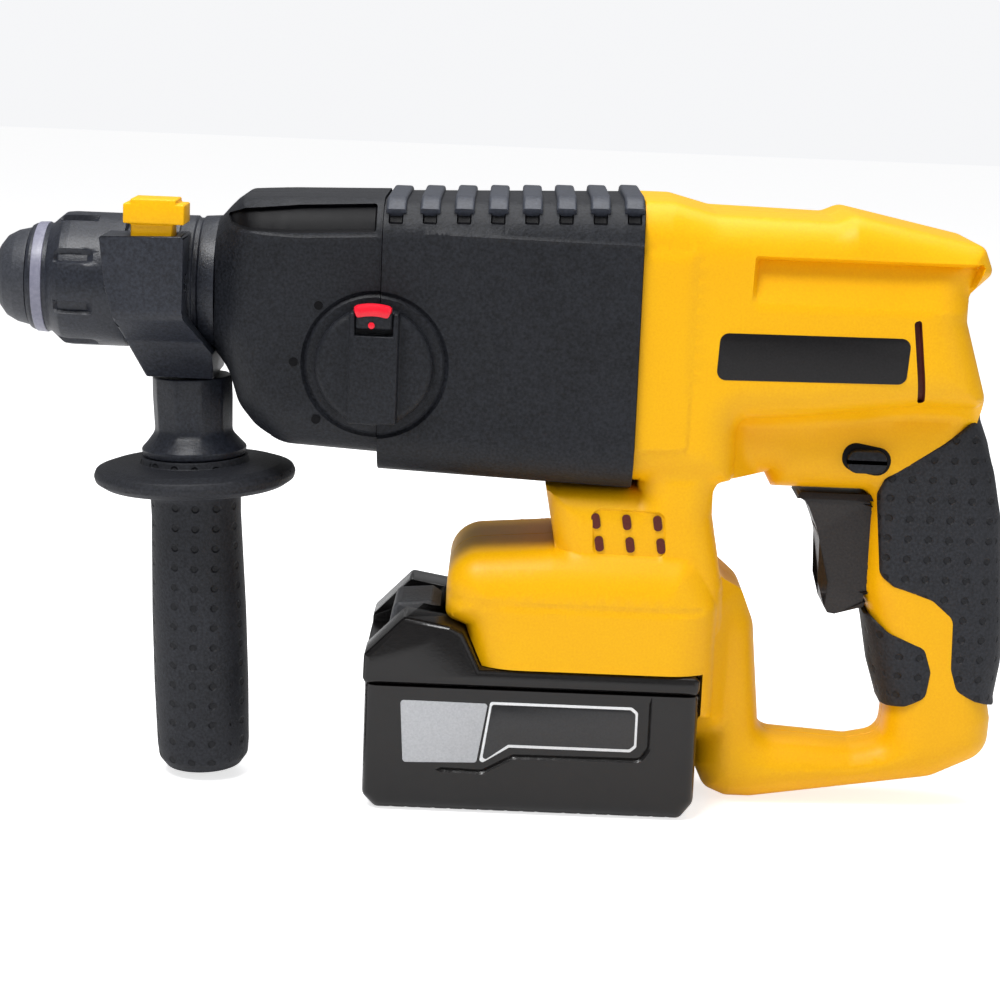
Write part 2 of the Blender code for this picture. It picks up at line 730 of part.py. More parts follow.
SLEEVE_BORE = 15.6
SLEEVE_WEB_R = BALL_SEAT + BALL_R + 0.6   # passes over the waist and the balls
locking_sleeve = turned(
    "locking_sleeve",
    [(SLEEVE_FRONT_X, 17.6), (-176.5, 18.2), (-170.5, 18.6), (-168.5, 20.4), (-166, 22.5),
     (-164, SLEEVE_R), (SLEEVE_REAR_X, SLEEVE_R)],
    [(SLEEVE_FRONT_X, SLEEVE_WEB_R), (-173.2, SLEEVE_WEB_R), (-173.2, SLEEVE_BORE),
     (-159.8, SLEEVE_BORE), (-158.8, COLLAR_NECK_R + 0.4), (SLEEVE_REAR_X, COLLAR_NECK_R + 0.4)],
    "X", barrel, 24,
)
adopt(locking_sleeve, BLACK)
RING_FRONT_X, RING_REAR_X = -169.5, -164.0
retaining_ring = turned(
    "retaining_ring",
    [(RING_FRONT_X, SLEEVE_BORE - 0.4), (RING_REAR_X, SLEEVE_BORE - 0.4)],
    [(RING_FRONT_X, SLEEVE_WEB_R - 0.1), (RING_REAR_X, SLEEVE_WEB_R - 0.1)],
    "X", barrel,
)
adopt(retaining_ring, STEEL)
for piece in (locking_sleeve, retaining_ring):
    ride(piece, sleeve_pivot)

SPRING_TURNS, SPRING_POINTS = 3, 14
SPRING_R = 14.1
SPRING_LENGTH = COLLAR_FRONT_X - RING_REAR_X - 1.8
spring_curve = bpy.data.curves.new("sleeve_spring", "CURVE")
spring_curve.dimensions = "3D"
spring_curve.bevel_depth = 0.5 * MM
spring_curve.bevel_resolution = 0
spring_curve.use_fill_caps = True
coil = spring_curve.splines.new("POLY")
coil.points.add(SPRING_TURNS * SPRING_POINTS)
for index, point in enumerate(coil.points):
    turn = 2 * math.pi * index / SPRING_POINTS
    along = RING_REAR_X + 0.9 + SPRING_LENGTH * index / (SPRING_TURNS * SPRING_POINTS)
    point.co = (
        along * MM, SPRING_R * math.cos(turn) * MM, (BARREL_Z + SPRING_R * math.sin(turn)) * MM, 1
    )
sleeve_spring = bpy.data.objects.new("sleeve_spring", spring_curve)
bpy.context.scene.collection.objects.link(sleeve_spring)
bpy.context.view_layer.update()
ride(adopt(meshed(sleeve_spring), STEEL), spindle_pivot)

impact_bolt = turned(
    "impact_bolt", [(-143, 4.4), (-142, 4.8), (-129, 4.8), (-128, PISTON_R), (-108, PISTON_R)],
    (), "X", barrel,
)
striker = turned(
    "striker", [(-96, PISTON_R - 1), (-95, PISTON_R), (-72, PISTON_R)], (), "X", barrel
)
WOBBLE_X = -4.0
FINGER_BALL_R = 3.2
piston = cylinder("piston", -50, -20, PISTON_R, "X", barrel)
tail = box("piston_tail", (-22, -6.2, BARREL_Z - 4.5), (3.8, 6.2, BARREL_Z + 4.5))
slot = box(
    "piston_slot", (WOBBLE_X - 3.6, -3.8, BARREL_Z - 6), (WOBBLE_X + 3.6, 3.8, BARREL_Z + 6)
)
cut(join(piston, tail), slot)
for piece, name in ((impact_bolt, "impact_bolt"), (striker, "striker"), (piston, "piston")):
    ride(adopt(piece, STEEL), pivot(f"{name}_axis", barrel))


# ---------------------------------------------------------------- intermediate shaft and wobble drive
shaft_line = (0, 0, SHAFT_Z)
shaft_pivot = pivot("countershaft_axis", shaft_line)
SHAFT_R = 5.0
DRUM_R = 11.0
intermediate_shaft = adopt(
    turned("intermediate_shaft", [(-51, 4.4), (-50, SHAFT_R), (27, SHAFT_R), (28, 4.4)], (), "X",
           shaft_line),
    STEEL,
)
shaft_gear = adopt(gear("shaft_gear", WHEEL_TEETH, 14, 21, SHAFT_R + GAP, shaft_line, True), STEEL)
spindle_drive_gear = adopt(
    gear("spindle_drive_gear", DRIVE_TEETH, -42, -34, SHAFT_R + GAP, shaft_line, True), STEEL
)
DRUM_HALF = 7.0
drum_profile = [
    (along, math.sqrt(DRUM_R ** 2 - along ** 2)) for along in (-7.0, -5.0, -2.5, 0, 2.5, 5.0, 7.0)
]
wobble_drum = turned(
    "wobble_drum", drum_profile, [(-DRUM_HALF, SHAFT_R + GAP), (DRUM_HALF, SHAFT_R + GAP)], "X",
    (WOBBLE_X, 0, SHAFT_Z),
)
adopt(wobble_drum, STEEL)
for piece in (intermediate_shaft, shaft_gear, spindle_drive_gear, wobble_drum):
    ride(piece, shaft_pivot)

RING_R = 15.5
wobble_ring = turned(
    "wobble_ring", [(-3.5, RING_R), (3.5, RING_R)], [(-3.5, DRUM_R + 0.4), (3.5, DRUM_R + 0.4)], "X",
    (WOBBLE_X, 0, SHAFT_Z),
)
arm = BARREL_Z - SHAFT_Z
finger = turned(
    "wobble_finger",
    [(RING_R - 2, 3.0), (RING_R + 4, 3.0), (arm - 6.5, 2.1), (arm - 2.4, 2.1),
     (arm - 1.2, FINGER_BALL_R - 0.3), (arm, FINGER_BALL_R), (arm + 1.6, FINGER_BALL_R - 0.4),
     (arm + 2.8, 1.4)],
    (), "Z", (WOBBLE_X, 0, SHAFT_Z), 12,
)
ride(adopt(join(wobble_ring, finger), STEEL), pivot("wobble_axis", (WOBBLE_X, 0, SHAFT_Z)))


# ---------------------------------------------------------------- gearbox frame and bearings
def bearing(name, low, high, bore, outer, centre):
    """A plain ring that stands for a ball bearing with its two races."""
    return adopt(turned(name, [(low, outer), (high, outer)], [(low, bore), (high, bore)], "X", centre),
                 STEEL)


motor_line = (0, 0, MOTOR_Z)
MOTOR_SHAFT_R = 2.6
FRONT_PLATE_X, REAR_PLATE_X = -52.0, 24.2
PLATE = 4.4
SPINDLE_BEARING_R, SHAFT_BEARING_R, MOTOR_BEARING_R = 17.5, 9.0, 8.0


def frame_plate(name, x, holes):
    """One wall of the gearbox frame across the tool, with bearing seats at (height, radius)."""
    wall = extruded(
        name, rounded([(-29, 125, 8), (29, 125, 8), (29, 199, 14), (-29, 199, 14)]), x, x + PLATE,
        plane="YZ",
    )
    for number, (height, radius) in enumerate(holes):
        seat = cylinder(
            f"{name}_seat_{number}", x - 2, x + PLATE + 2, radius + GAP, "X", (0, 0, height)
        )
        cut(wall, seat)
    return wall


gearbox_frame = frame_plate(
    "gearbox_frame", FRONT_PLATE_X, [(BARREL_Z, SPINDLE_BEARING_R), (SHAFT_Z, SHAFT_BEARING_R)]
)
rear_plate = frame_plate(
    "frame_rear", REAR_PLATE_X, [(MOTOR_Z, MOTOR_BEARING_R), (SHAFT_Z, SHAFT_BEARING_R)]
)
join(gearbox_frame, rear_plate)
for side in (-1, 1):
    rail = box(
        f"frame_rail_{side}",
        *sorted_corners(
            (FRONT_PLATE_X + 1, side * 25.5, SHAFT_Z - 6),
            (REAR_PLATE_X + PLATE - 1, side * 28.5, SHAFT_Z + 12),
        ),
    )
    join(gearbox_frame, rail)
adopt(gearbox_frame, ALUMINIUM)

front, rear = FRONT_PLATE_X, REAR_PLATE_X
bearing("spindle_bearing", front, front + PLATE, SPINDLE_R + GAP, SPINDLE_BEARING_R, barrel)
bearing("shaft_front_bearing", front, front + PLATE, SHAFT_R + GAP, SHAFT_BEARING_R, shaft_line)
bearing("shaft_rear_bearing", rear, rear + PLATE, SHAFT_R + GAP, SHAFT_BEARING_R, shaft_line)
bearing("motor_front_bearing", rear, rear + PLATE, MOTOR_SHAFT_R + GAP, MOTOR_BEARING_R, motor_line)


# ---------------------------------------------------------------- motor
motor_pivot = pivot("motor_axis", motor_line)
FAN_R = 22.0
COMMUTATOR_R = 8.0
BRUSH_HOLDER_X = MOTOR_REAR_X + GAP
BRUSH_HOLDER_LENGTH = 12.0
motor_can = turned(
    "motor_can", [(MOTOR_FRONT_X, MOTOR_R), (MOTOR_REAR_X, MOTOR_R)],
    [(MOTOR_FRONT_X, MOTOR_R - 4.5), (MOTOR_REAR_X, MOTOR_R - 4.5)], "X", motor_line, 24,
)
adopt(motor_can, DARK_STEEL)
armature = turned(
    "armature",
    [(11, MOTOR_SHAFT_R - 0.4), (44, MOTOR_SHAFT_R), (45, 16), (48, 19.2), (82, 19.2), (85, 15),
     (86, COMMUTATOR_R), (108, COMMUTATOR_R), (108.5, MOTOR_SHAFT_R), (118, MOTOR_SHAFT_R)],
    (), "X", motor_line,
)
pinion = gear("motor_pinion", PINION_TEETH, 13, 22, MOTOR_SHAFT_R - 1, motor_line, False)
ride(adopt(join(armature, pinion), COPPER), motor_pivot)

FAN_BLADES = 9
fan = turned(
    "cooling_fan", [(32.5, 8), (38, 10), (38, FAN_R), (39.5, FAN_R)],
    [(32.5, MOTOR_SHAFT_R + GAP), (39.5, MOTOR_SHAFT_R + GAP)], "X", motor_line,
)
for number in range(FAN_BLADES):
    blade = box(f"blade_{number}", (32.8, -0.7, 9.0), (38.6, 0.7, FAN_R - 1))
    blade.data.transform(Matrix.Rotation(2 * math.pi * number / FAN_BLADES, 4, "X"))
    blade.location = metres(motor_line)
    join(fan, blade)
ride(adopt(fan, BLACK), motor_pivot)

brush_holder = turned(
    "brush_holder",
    [(BRUSH_HOLDER_X, MOTOR_R), (BRUSH_HOLDER_X + BRUSH_HOLDER_LENGTH, MOTOR_R - 4)],
    [(BRUSH_HOLDER_X, COMMUTATOR_R + 8), (BRUSH_HOLDER_X + BRUSH_HOLDER_LENGTH, COMMUTATOR_R + 8)],
    "X", motor_line,
)
for side in (-1, 1):
    brush = box(
        f"brush_{side}",
        *sorted_corners(
            (BRUSH_HOLDER_X + 1, side * (COMMUTATOR_R + 0.4), MOTOR_Z - 3),
            (BRUSH_HOLDER_X + 9, side * (MOTOR_R - 6), MOTOR_Z + 3),
        ),
    )
    join(brush_holder, brush)
adopt(brush_holder, BLACK)
bearing("motor_rear_bearing", 112.0, 117.0, MOTOR_SHAFT_R + GAP, MOTOR_BEARING_R, motor_line)


# ---------------------------------------------------------------- controls
dial_pivot = pivot("dial_axis", (DIAL_X, 0, DIAL_Z))
DIAL_BAR_HALF = 8.0
mode_dial = turned(
    "mode_dial",
    [(DIAL_FACE_Y, DIAL_R - 1.5), (DIAL_FACE_Y + 1.5, DIAL_R), (DIAL_BACK_Y, DIAL_R),
     (DIAL_BACK_Y, DIAL_SHAFT_R), (-15, DIAL_SHAFT_R)],
    (), "Y", (DIAL_X, 0, DIAL_Z), 32,
)
bar = box(
    "dial_bar",
    (DIAL_X - DIAL_BAR_HALF, DIAL_BAR_Y, DIAL_Z - DIAL_R + 1.5),
    (DIAL_X + DIAL_BAR_HALF, DIAL_FACE_Y + 2, DIAL_Z + DIAL_R - 1.0),
)
pocket = box(
    "release_pocket",
    (DIAL_X - 6.3, DIAL_BAR_Y - 2, DIAL_Z + 11.0), (DIAL_X + 6.3, DIAL_FACE_Y - 0.6, DIAL_Z + DIAL_R + 1)
)
ride(adopt(cut(join(mode_dial, bar), pocket), BLACK), dial_pivot)
RELEASE_TRAVEL = 2.0
dial_release = box(
    "dial_release",
    (DIAL_X - 6.0, DIAL_BAR_Y - 0.3, DIAL_Z + 11.3 + RELEASE_TRAVEL),
    (DIAL_X + 6.0, DIAL_FACE_Y - 0.9, DIAL_Z + DIAL_R - 0.5),
)
ride(adopt(bevelled(dial_release, 0.6, 1), RED), dial_pivot)

TRIGGER_OUTLINE = [
    (113.4, 71.5, 0), (100.2, 67.6, 3), (98.8, 80, 16), (96.4, 97, 20), (91.5, 108.6, 6),
    (83.2, 111.4, 1), (113.4, 111.4, 0), (113.4, 108, 0), (125, 106, 0), (125, 76, 0),
    (113.4, 76, 0),
]
trigger = extruded(
    "trigger", rounded(TRIGGER_OUTLINE), -TRIGGER_HALF_WIDTH, TRIGGER_HALF_WIDTH
)
ride(adopt(bevelled(trigger, 1.8), BLACK), pivot("trigger_slide", (106, 0, 90)))
switch_body = box("switch_body", (133.0, -9.5, 80.0), (150.0, 9.5, 110.0))
adopt(bevelled(switch_body, 1.0, 1), BLACK)

BUTTON_X, BUTTON_Z = 109.8, 124.7
BUTTON_REACH = HANDLE_HALF_WIDTH + BUTTON_TRAVEL + 0.8
direction_button = extruded(
    "direction_button",
    rounded([(BUTTON_X - 6.7, BUTTON_Z - 3.9, 3.2), (BUTTON_X + 6.7, BUTTON_Z - 3.9, 3.2),
             (BUTTON_X + 6.7, BUTTON_Z + 3.9, 3.2), (BUTTON_X - 6.7, BUTTON_Z + 3.9, 3.2)], 3),
    -BUTTON_REACH, BUTTON_REACH,
)
ride(adopt(direction_button, BLACK), pivot("direction_slide", (BUTTON_X, 0, BUTTON_Z)))

BADGE_OUTLINE = [(55.7, 152.8), (118.8, 153.7), (119.7, 169.1), (56.4, 168.6)]
badge_plate = extruded(
    "badge_plate", BADGE_OUTLINE, -BODY_HALF_WIDTH - 1.1, -BODY_HALF_WIDTH - GAP
)
adopt(badge_plate, BLACK)

controller_board = box("controller_board", (-10, -24, 60.5), (44, 24, 64.5))
adopt(controller_board, BOARD)
TERMINAL_BLOCK = ((4.0, -15.0, RAIL_TOP_Z - 4.2), (30.0, 15.0, 58.5))
terminal_block = adopt(box("terminal_block", *TERMINAL_BLOCK), BLACK)

LEAD_ROUTE = [(30, 10, 65.6), (30, 10, 80), (36, 9, 104), (50, 8, 124), (70, 7, 133), (92, 6, 137),
              (104, 5, 141.5)]
LEAD_R = 1.4


def smooth_route(points, pieces=4):
    """Points along a Catmull-Rom curve through the given ones."""
    route = []
    padded = [points[0], *points, points[-1]]
    for before, start, end, after in zip(padded, padded[1:], padded[2:], padded[3:]):
        before, start, end, after = map(Vector, (before, start, end, after))
        for step in range(pieces):
            t = step / pieces
            route.append(
                0.5 * (2 * start + (end - before) * t
                       + (2 * before - 5 * start + 4 * end - after) * t * t
                       + (3 * start - before - 3 * end + after) * t * t * t)
            )
    return [*route, Vector(points[-1])]


def tube(name, points, radius):
    """A wire through points, round and capped."""
    curve = bpy.data.curves.new(name, "CURVE")
    curve.dimensions = "3D"
    curve.bevel_depth = radius * MM
    curve.bevel_resolution = 1
    curve.use_fill_caps = True
    spline = curve.splines.new("POLY")
    spline.points.add(len(points) - 1)
    for point, place in zip(spline.points, points):
        point.co = (*metres(place), 1)
    obj = bpy.data.objects.new(name, curve)
    bpy.context.scene.collection.objects.link(obj)
    bpy.context.view_layer.update()
    return meshed(obj)


motor_lead = adopt(tube("motor_lead", smooth_route(LEAD_ROUTE), LEAD_R), RED)


# ---------------------------------------------------------------- battery
battery_pivot = pivot("battery_slide", (0, 0, RAIL_TOP_Z))
battery_case = extruded(
    "battery_case",
    rounded([(BATTERY_FRONT_X, 0, 4), (BATTERY_REAR_X, 0, 4), (BATTERY_REAR_X, TRAY_TOP_Z, 0),
             (BATTERY_FRONT_X - 0.8, TRAY_TOP_Z, 0)]),
    -BATTERY_HALF_WIDTH, BATTERY_HALF_WIDTH,
)
tray_room = box(
    "tray_room",
    (BATTERY_FRONT_X + BATTERY_WALL, -BATTERY_HALF_WIDTH + BATTERY_WALL, BATTERY_WALL),
    (BATTERY_REAR_X - BATTERY_WALL, BATTERY_HALF_WIDTH - BATTERY_WALL, TRAY_TOP_Z + 5),
)
adopt(cut(bevelled(battery_case, 3.0, 2, 70), tray_room), GLOSS)
TOP_OUTLINE = [
    (BATTERY_FRONT_X - 0.8, TRAY_TOP_Z + GAP, 0), (BATTERY_REAR_X, TRAY_TOP_Z + GAP, 0),
    (BATTERY_REAR_X, RAIL_TOP_Z, 0), (-18.9, RAIL_TOP_Z, 0), (-24.9, 63.4, 0), (-29.6, 65.6, 2),
    (-45.3, 68.2, 2), (-58.6, 54.6, 2),
]
battery_top = extruded("battery_top", rounded(TOP_OUTLINE), -BATTERY_HALF_WIDTH, BATTERY_HALF_WIDTH)
cut(
    bevelled(battery_top, 2.0, 2, 70),
    box("latch_recess", (-70, -20, 52), (-29.9, 20, 80)),
    box("terminal_groove", (0, -17.5, RAIL_TOP_Z - 5), (60, 17.5, RAIL_TOP_Z + 5)),
)
adopt(battery_top, GLOSS)
LATCH_OUTLINE = [(-52, 56.4, 0), (-31.0, 56.4, 0), (-31.0, 64.5, 2), (-37.0, 68.4, 2), (-49.5, 67.4, 3)]
battery_latch = extruded("battery_latch", rounded(LATCH_OUTLINE, 3), -12.0, 12.0)
latch_pivot = pivot("latch_slide", (-42, 0, 62), battery_pivot)
ride(adopt(bevelled(battery_latch, 1.0, 1), BLACK), latch_pivot)
battery_label = box(
    "battery_label", (-45.5, -BATTERY_HALF_WIDTH - 0.9, 17.4), (35.2, -BATTERY_HALF_WIDTH - GAP, 39.6)
)
adopt(battery_label, LABEL)


def cell_row(name, height):
    """Five round cells side by side across the pack, welded together by strips at both ends."""
    pitch = 2 * CELL_R + 0.6
    middle_x = (BATTERY_FRONT_X + BATTERY_REAR_X) / 2
    span = pitch * (CELLS_PER_ROW - 1) / 2
    row = None
    for number in range(CELLS_PER_ROW):
        x = middle_x - span + number * pitch
        cell = cylinder(
            name if row is None else f"{name}_{number}", -CELL_LENGTH / 2, CELL_LENGTH / 2, CELL_R, "Y",
            (x, 0, height), 12,
        )
        row = cell if row is None else join(row, cell)
    for side in (-1, 1):
        strip = box(
            f"{name}_strip_{side}",
            *sorted_corners(
                (middle_x - span - 3, side * (CELL_LENGTH / 2 - 0.4), height - 3),
                (middle_x + span + 3, side * (CELL_LENGTH / 2 + 0.4), height + 3),
            ),
        )
        join(row, strip)
    return adopt(row, CELL)


cell_row_lower = cell_row("cell_row_lower", BATTERY_WALL + CELL_R + 0.6)
cell_row_upper = cell_row("cell_row_upper", BATTERY_WALL + 3 * CELL_R + 1.6)
for piece in (battery_case, battery_top, battery_label, cell_row_lower, cell_row_upper):
    ride(piece, battery_pivot)


# ---------------------------------------------------------------- side handle
handle_pivot = pivot("side_handle_axis", barrel)
SADDLE_LOW_X, SADDLE_HIGH_X = SLEEVE_REAR_X + GAP, -121.9
SADDLE_REAR_X = COLLAR_REAR_X - GAP
SADDLE_BORE = COLLAR_R + 0.4
BAND_R, BAND_THICK = COLLAR_R + 0.35, 1.0
BAND_HALF_WIDTH = 6.5
SADDLE_SIDE = [               # side view: x, z, corner radius
    (SADDLE_LOW_X, 192.6, 1), (SADDLE_HIGH_X, 193.4, 1), (SADDLE_HIGH_X, 166, 3),
    (SADDLE_REAR_X, 153, 2), (SADDLE_REAR_X, HANDLE_TOP_Z, 0), (-136.5, HANDLE_TOP_Z, 0), (-144, 162, 3),
    (-147.8, 176, 6),
]
SADDLE_FRONT = [              # front view: y, z, corner radius
    (-35, 194.5, 0), (-16.6, 194.5, 0), (16.6, 189.2, 2), (31, 189.2, 6), (31, 167, 8),
    (14.2, HANDLE_TOP_Z - 1, 0), (-14.2, HANDLE_TOP_Z - 1, 0), (-24.6, 157.3, 6), (-35, 166.3, 5),
]
clamp_saddle = extruded("clamp_saddle", rounded(SADDLE_SIDE, 3), -45, 45)
front_view = extruded("saddle_front_view", rounded(SADDLE_FRONT, 3), -170, -90, plane="YZ")
boolean(clamp_saddle, front_view, "INTERSECT")
band_middle_x = (SADDLE_LOW_X + SADDLE_HIGH_X) / 2 + 3.5
band_low_x, band_high_x = band_middle_x - BAND_HALF_WIDTH, band_middle_x + BAND_HALF_WIDTH
band_groove_r = BAND_R + BAND_THICK + GAP
ROD_HOLE_R = 3.4
ROD_Y, ROD_Z = -28.5, 177.5
cut(
    clamp_saddle,
    cylinder("saddle_bore", -170, -90, SADDLE_BORE, "X", barrel, 36),
    cylinder("band_groove", band_low_x - GAP, band_high_x + GAP, band_groove_r, "X", barrel, 32),
    cylinder("rod_hole", -170, -90, ROD_HOLE_R, "X", (0, ROD_Y, ROD_Z), 12),
    box("button_pocket", (-140.0, -32.5, 186.8), (-125.5, -21.3, 200)),
)
clamp_band = turned(
    "clamp_band",
    [(band_low_x, BAND_R + BAND_THICK), (band_high_x, BAND_R + BAND_THICK)],
    [(band_low_x, BAND_R), (band_high_x, BAND_R)],
    "X", barrel, 28,
)

grip_top = (HANDLE_TOP_X, 0, HANDLE_TOP_Z)
grip_pivot = pivot("grip_axis", grip_top, handle_pivot)
LEAN = Matrix.Translation(metres(grip_top)) @ Matrix.Rotation(-HANDLE_LEAN, 4, "Y")


def leaning(obj):
    """Places a piece turned about its own Z on the side handle's leaning axis."""
    obj.matrix_world = LEAN
    return obj


NECK_END = -28.6
handle_neck = leaning(turned(
    "handle_neck",
    [(NECK_END, 17.8), (-26.2, 18.2), (-24.0, 16.2), (-20.5, NECK_R - 0.6), (-8, NECK_R - 0.3),
     (-0.9, NECK_R - 0.3)],
    [(NECK_END, BOLT_R + 0.4), (-0.9, BOLT_R + 0.4)], "Z",
))
bolt_hole = leaning(cylinder("saddle_bolt_hole", -5, 30, BOLT_R + 0.5, "Z", (0, 0, 0), 12))
head_room = leaning(cylinder("bolt_head_room", 1.6, 30, 8.4, "Z", (0, 0, 0), 12))
cut(clamp_saddle, bolt_hole, head_room)
clamp_bolt = leaning(turned(
    "clamp_bolt", [(-60, BOLT_R), (2.0, BOLT_R), (2.0, 7.8), (5.6, 7.8)], (), "Z", (0, 0, 0), 12
))
GRIP_TOP = NECK_END - GAP
side_grip = leaning(turned(
    "side_grip",
    [(-GRIP_END, 8.5), (1.4 - GRIP_END, 13.0), (5 - GRIP_END, 15.7), (10 - GRIP_END, GRIP_R),
     (-110, GRIP_R + 0.4), (-85, GRIP_R + 0.3), (-50, GRIP_R - 0.5), (-38.8, GRIP_R - 0.4),
     (-38.8, FLANGE_R - 2.5), (-37.2, FLANGE_R - 0.5), (-35.2, FLANGE_R), (-33.2, FLANGE_R - 0.8),
     (-32.0, FLANGE_R - 4), (-32.0, 18.3), (GRIP_TOP, 18.3)],
    [(-GRIP_END, BOLT_R + 0.5), (GRIP_TOP, BOLT_R + 0.5)], "Z",
))
grip_end_plug = leaning(cylinder("grip_end_plug", -GRIP_END, -66, BOLT_R + 2, "Z", (0, 0, 0), 12))
join(side_grip, grip_end_plug)

BUTTON_TOP_Z = 205.2
depth_stop_button = join(
    box("depth_stop_button", (-139.6, -32.2, 190.2), (-125.8, -21.6, 200)),
    box("button_head", (-142.0, -33.6, 194.0 + BUTTON_TRAVEL), (-121.8, -18.6, 203.6)),
    box("button_crown", (-139.6, -33.6, 194.0 + BUTTON_TRAVEL), (-124.6, -18.6, BUTTON_TOP_Z)),
)
for piece, finish in (
    (clamp_saddle, BLACK), (clamp_band, STEEL), (handle_neck, BLACK), (clamp_bolt, STEEL)
):
    ride(adopt(piece, finish), handle_pivot)
ride(adopt(side_grip, RUBBER), grip_pivot)
button_pivot = pivot("depth_button_slide", (-132, -26, 198), handle_pivot)
ride(adopt(depth_stop_button, YELLOW), button_pivot)
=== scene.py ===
"""Looks of a cordless rotary hammer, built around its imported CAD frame."""

import json
import logging
import math
from collections.abc import Callable, Sequence
from dataclasses import dataclass, field
from enum import Enum
from functools import cache

import bmesh
import bpy
import numpy as np
from mathutils import Matrix, Vector
from mathutils.geometry import delaunay_2d_cdt


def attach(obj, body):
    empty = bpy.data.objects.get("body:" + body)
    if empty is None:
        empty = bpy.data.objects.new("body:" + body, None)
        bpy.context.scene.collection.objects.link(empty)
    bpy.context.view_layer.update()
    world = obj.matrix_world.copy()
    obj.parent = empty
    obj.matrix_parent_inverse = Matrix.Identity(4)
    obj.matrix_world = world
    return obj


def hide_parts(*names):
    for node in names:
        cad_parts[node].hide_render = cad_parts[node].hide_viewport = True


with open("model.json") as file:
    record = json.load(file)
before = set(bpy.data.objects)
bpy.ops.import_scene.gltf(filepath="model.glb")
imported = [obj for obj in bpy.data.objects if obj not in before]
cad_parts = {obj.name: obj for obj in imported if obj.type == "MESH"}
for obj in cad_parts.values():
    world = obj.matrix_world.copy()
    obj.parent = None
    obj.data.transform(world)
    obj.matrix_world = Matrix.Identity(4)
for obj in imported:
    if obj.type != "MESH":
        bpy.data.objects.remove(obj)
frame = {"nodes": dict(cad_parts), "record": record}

log = logging.getLogger("rotary_hammer")
MM = 0.001
BARREL_Z = 174.5
SHROUD_FRONT_X, SHROUD_REAR_X = -56.3, 29.5
HANDLE_TOP = Vector((-122.8, 0.0, 143.4))
HANDLE_LEAN = math.radians(2.55)
DIAL_X, DIAL_Z = -57.8, 153.5
RIB_COUNT, RIB_PITCH, RIB_WIDTH = 8, 11.2, 6.6
RIB_LEAD = 4.0                # from the shroud's front to the first rib
PIT_LEVEL = 202.6             # height of the first pit under the ribs
SCREW_SUNK = 3.4

Corner = tuple[float, float, float]
Widths = float | Callable[[np.ndarray], np.ndarray]


class Side(Enum):
    """The half of the tool that a moulding belongs to."""

    LEFT = -1
    RIGHT = 1


class Axis(Enum):
    """The lines that turned pieces stand on."""

    BARREL = "barrel"
    HANDLE = "handle"

    def place(self) -> Matrix:
        """Returns the matrix that takes +Z onto this line, in millimetres."""
        if self is Axis.BARREL:
            return Matrix.Translation((0, 0, BARREL_Z)) @ Matrix.Rotation(math.pi / 2, 4, "Y")
        return Matrix.Translation(HANDLE_TOP) @ Matrix.Rotation(-HANDLE_LEAN, 4, "Y")


# ---------------------------------------------------------------- node trees


class Wire:
    """A socket that takes part in arithmetic by adding Math nodes."""

    def __init__(self, graph: "Graph", socket: bpy.types.NodeSocket) -> None:
        """Keeps the socket and the graph that it belongs to."""
        self.graph = graph
        self.socket = socket

    def math(self, operation: str, *others: "Wire | float", first: "Wire | float | None" = None) -> "Wire":
        """Adds one Math node.

        Args:
            operation: The node's operation.
            others: Its further values.
            first: A value that stands before this one, if any.

        Returns:
            The node's result.
        """
        values = [self, *others] if first is None else [first, self]
        return self.graph.add("ShaderNodeMath", {"operation": operation}, dict(enumerate(values)))

    def __add__(self, other: "Wire | float") -> "Wire":
        """Returns self + other."""
        return self.math("ADD", other)

    def __sub__(self, other: "Wire | float") -> "Wire":
        """Returns self - other."""
        return self.math("SUBTRACT", other)

    def __rsub__(self, other: float) -> "Wire":
        """Returns other - self."""
        return self.math("SUBTRACT", first=other)

    def __mul__(self, other: "Wire | float") -> "Wire":
        """Returns self * other."""
        return self.math("MULTIPLY", other)

    def __gt__(self, other: "Wire | float") -> "Wire":
        """Returns 1 where self is above other."""
        return self.math("GREATER_THAN", other)

    __radd__ = __add__
    __rmul__ = __mul__


class Graph:
    """A node tree that is filled one node at a time."""

    def __init__(self, tree: bpy.types.NodeTree) -> None:
        """Empties the tree."""
        self.tree = tree
        tree.nodes.clear()

    def node(self, kind: str, settings: dict | None = None, values: dict | None = None) -> bpy.types.Node:
        """Adds a node.

        Args:
            kind: The node's type.
            settings: Its own settings, which are set first.
            values: Values or links of its sockets, by name or number.

        Returns:
            The node.
        """
        made = self.tree.nodes.new(kind)
        for key, value in (settings or {}).items():
            setattr(made, key, value)
        for key, value in (values or {}).items():
            socket = made.inputs[key]
            if isinstance(value, Wire):
                self.tree.links.new(value.socket, socket)
            else:
                socket.default_value = value
        return made

    def add(
        self, kind: str, settings: dict | None = None, values: dict | None = None, out: int | str = 0
    ) -> Wire:
        """Adds a node as node() does.

        Args:
            kind: The node's type.
            settings: Its own settings.
            values: Values or links of its sockets.
            out: The output that is wanted.

        Returns:
            That output.
        """
        return Wire(self, self.node(kind, settings, values).outputs[out])

    def join(self, parts: "Sequence[Wire]") -> Wire:
        """Joins geometries, which are linked in the order given."""
        joined = self.node("GeometryNodeJoinGeometry")
        for part in parts:
            self.tree.links.new(part.socket, joined.inputs[0])
        return Wire(self, joined.outputs[0])


# ------------------------------------------------------------------ finishes


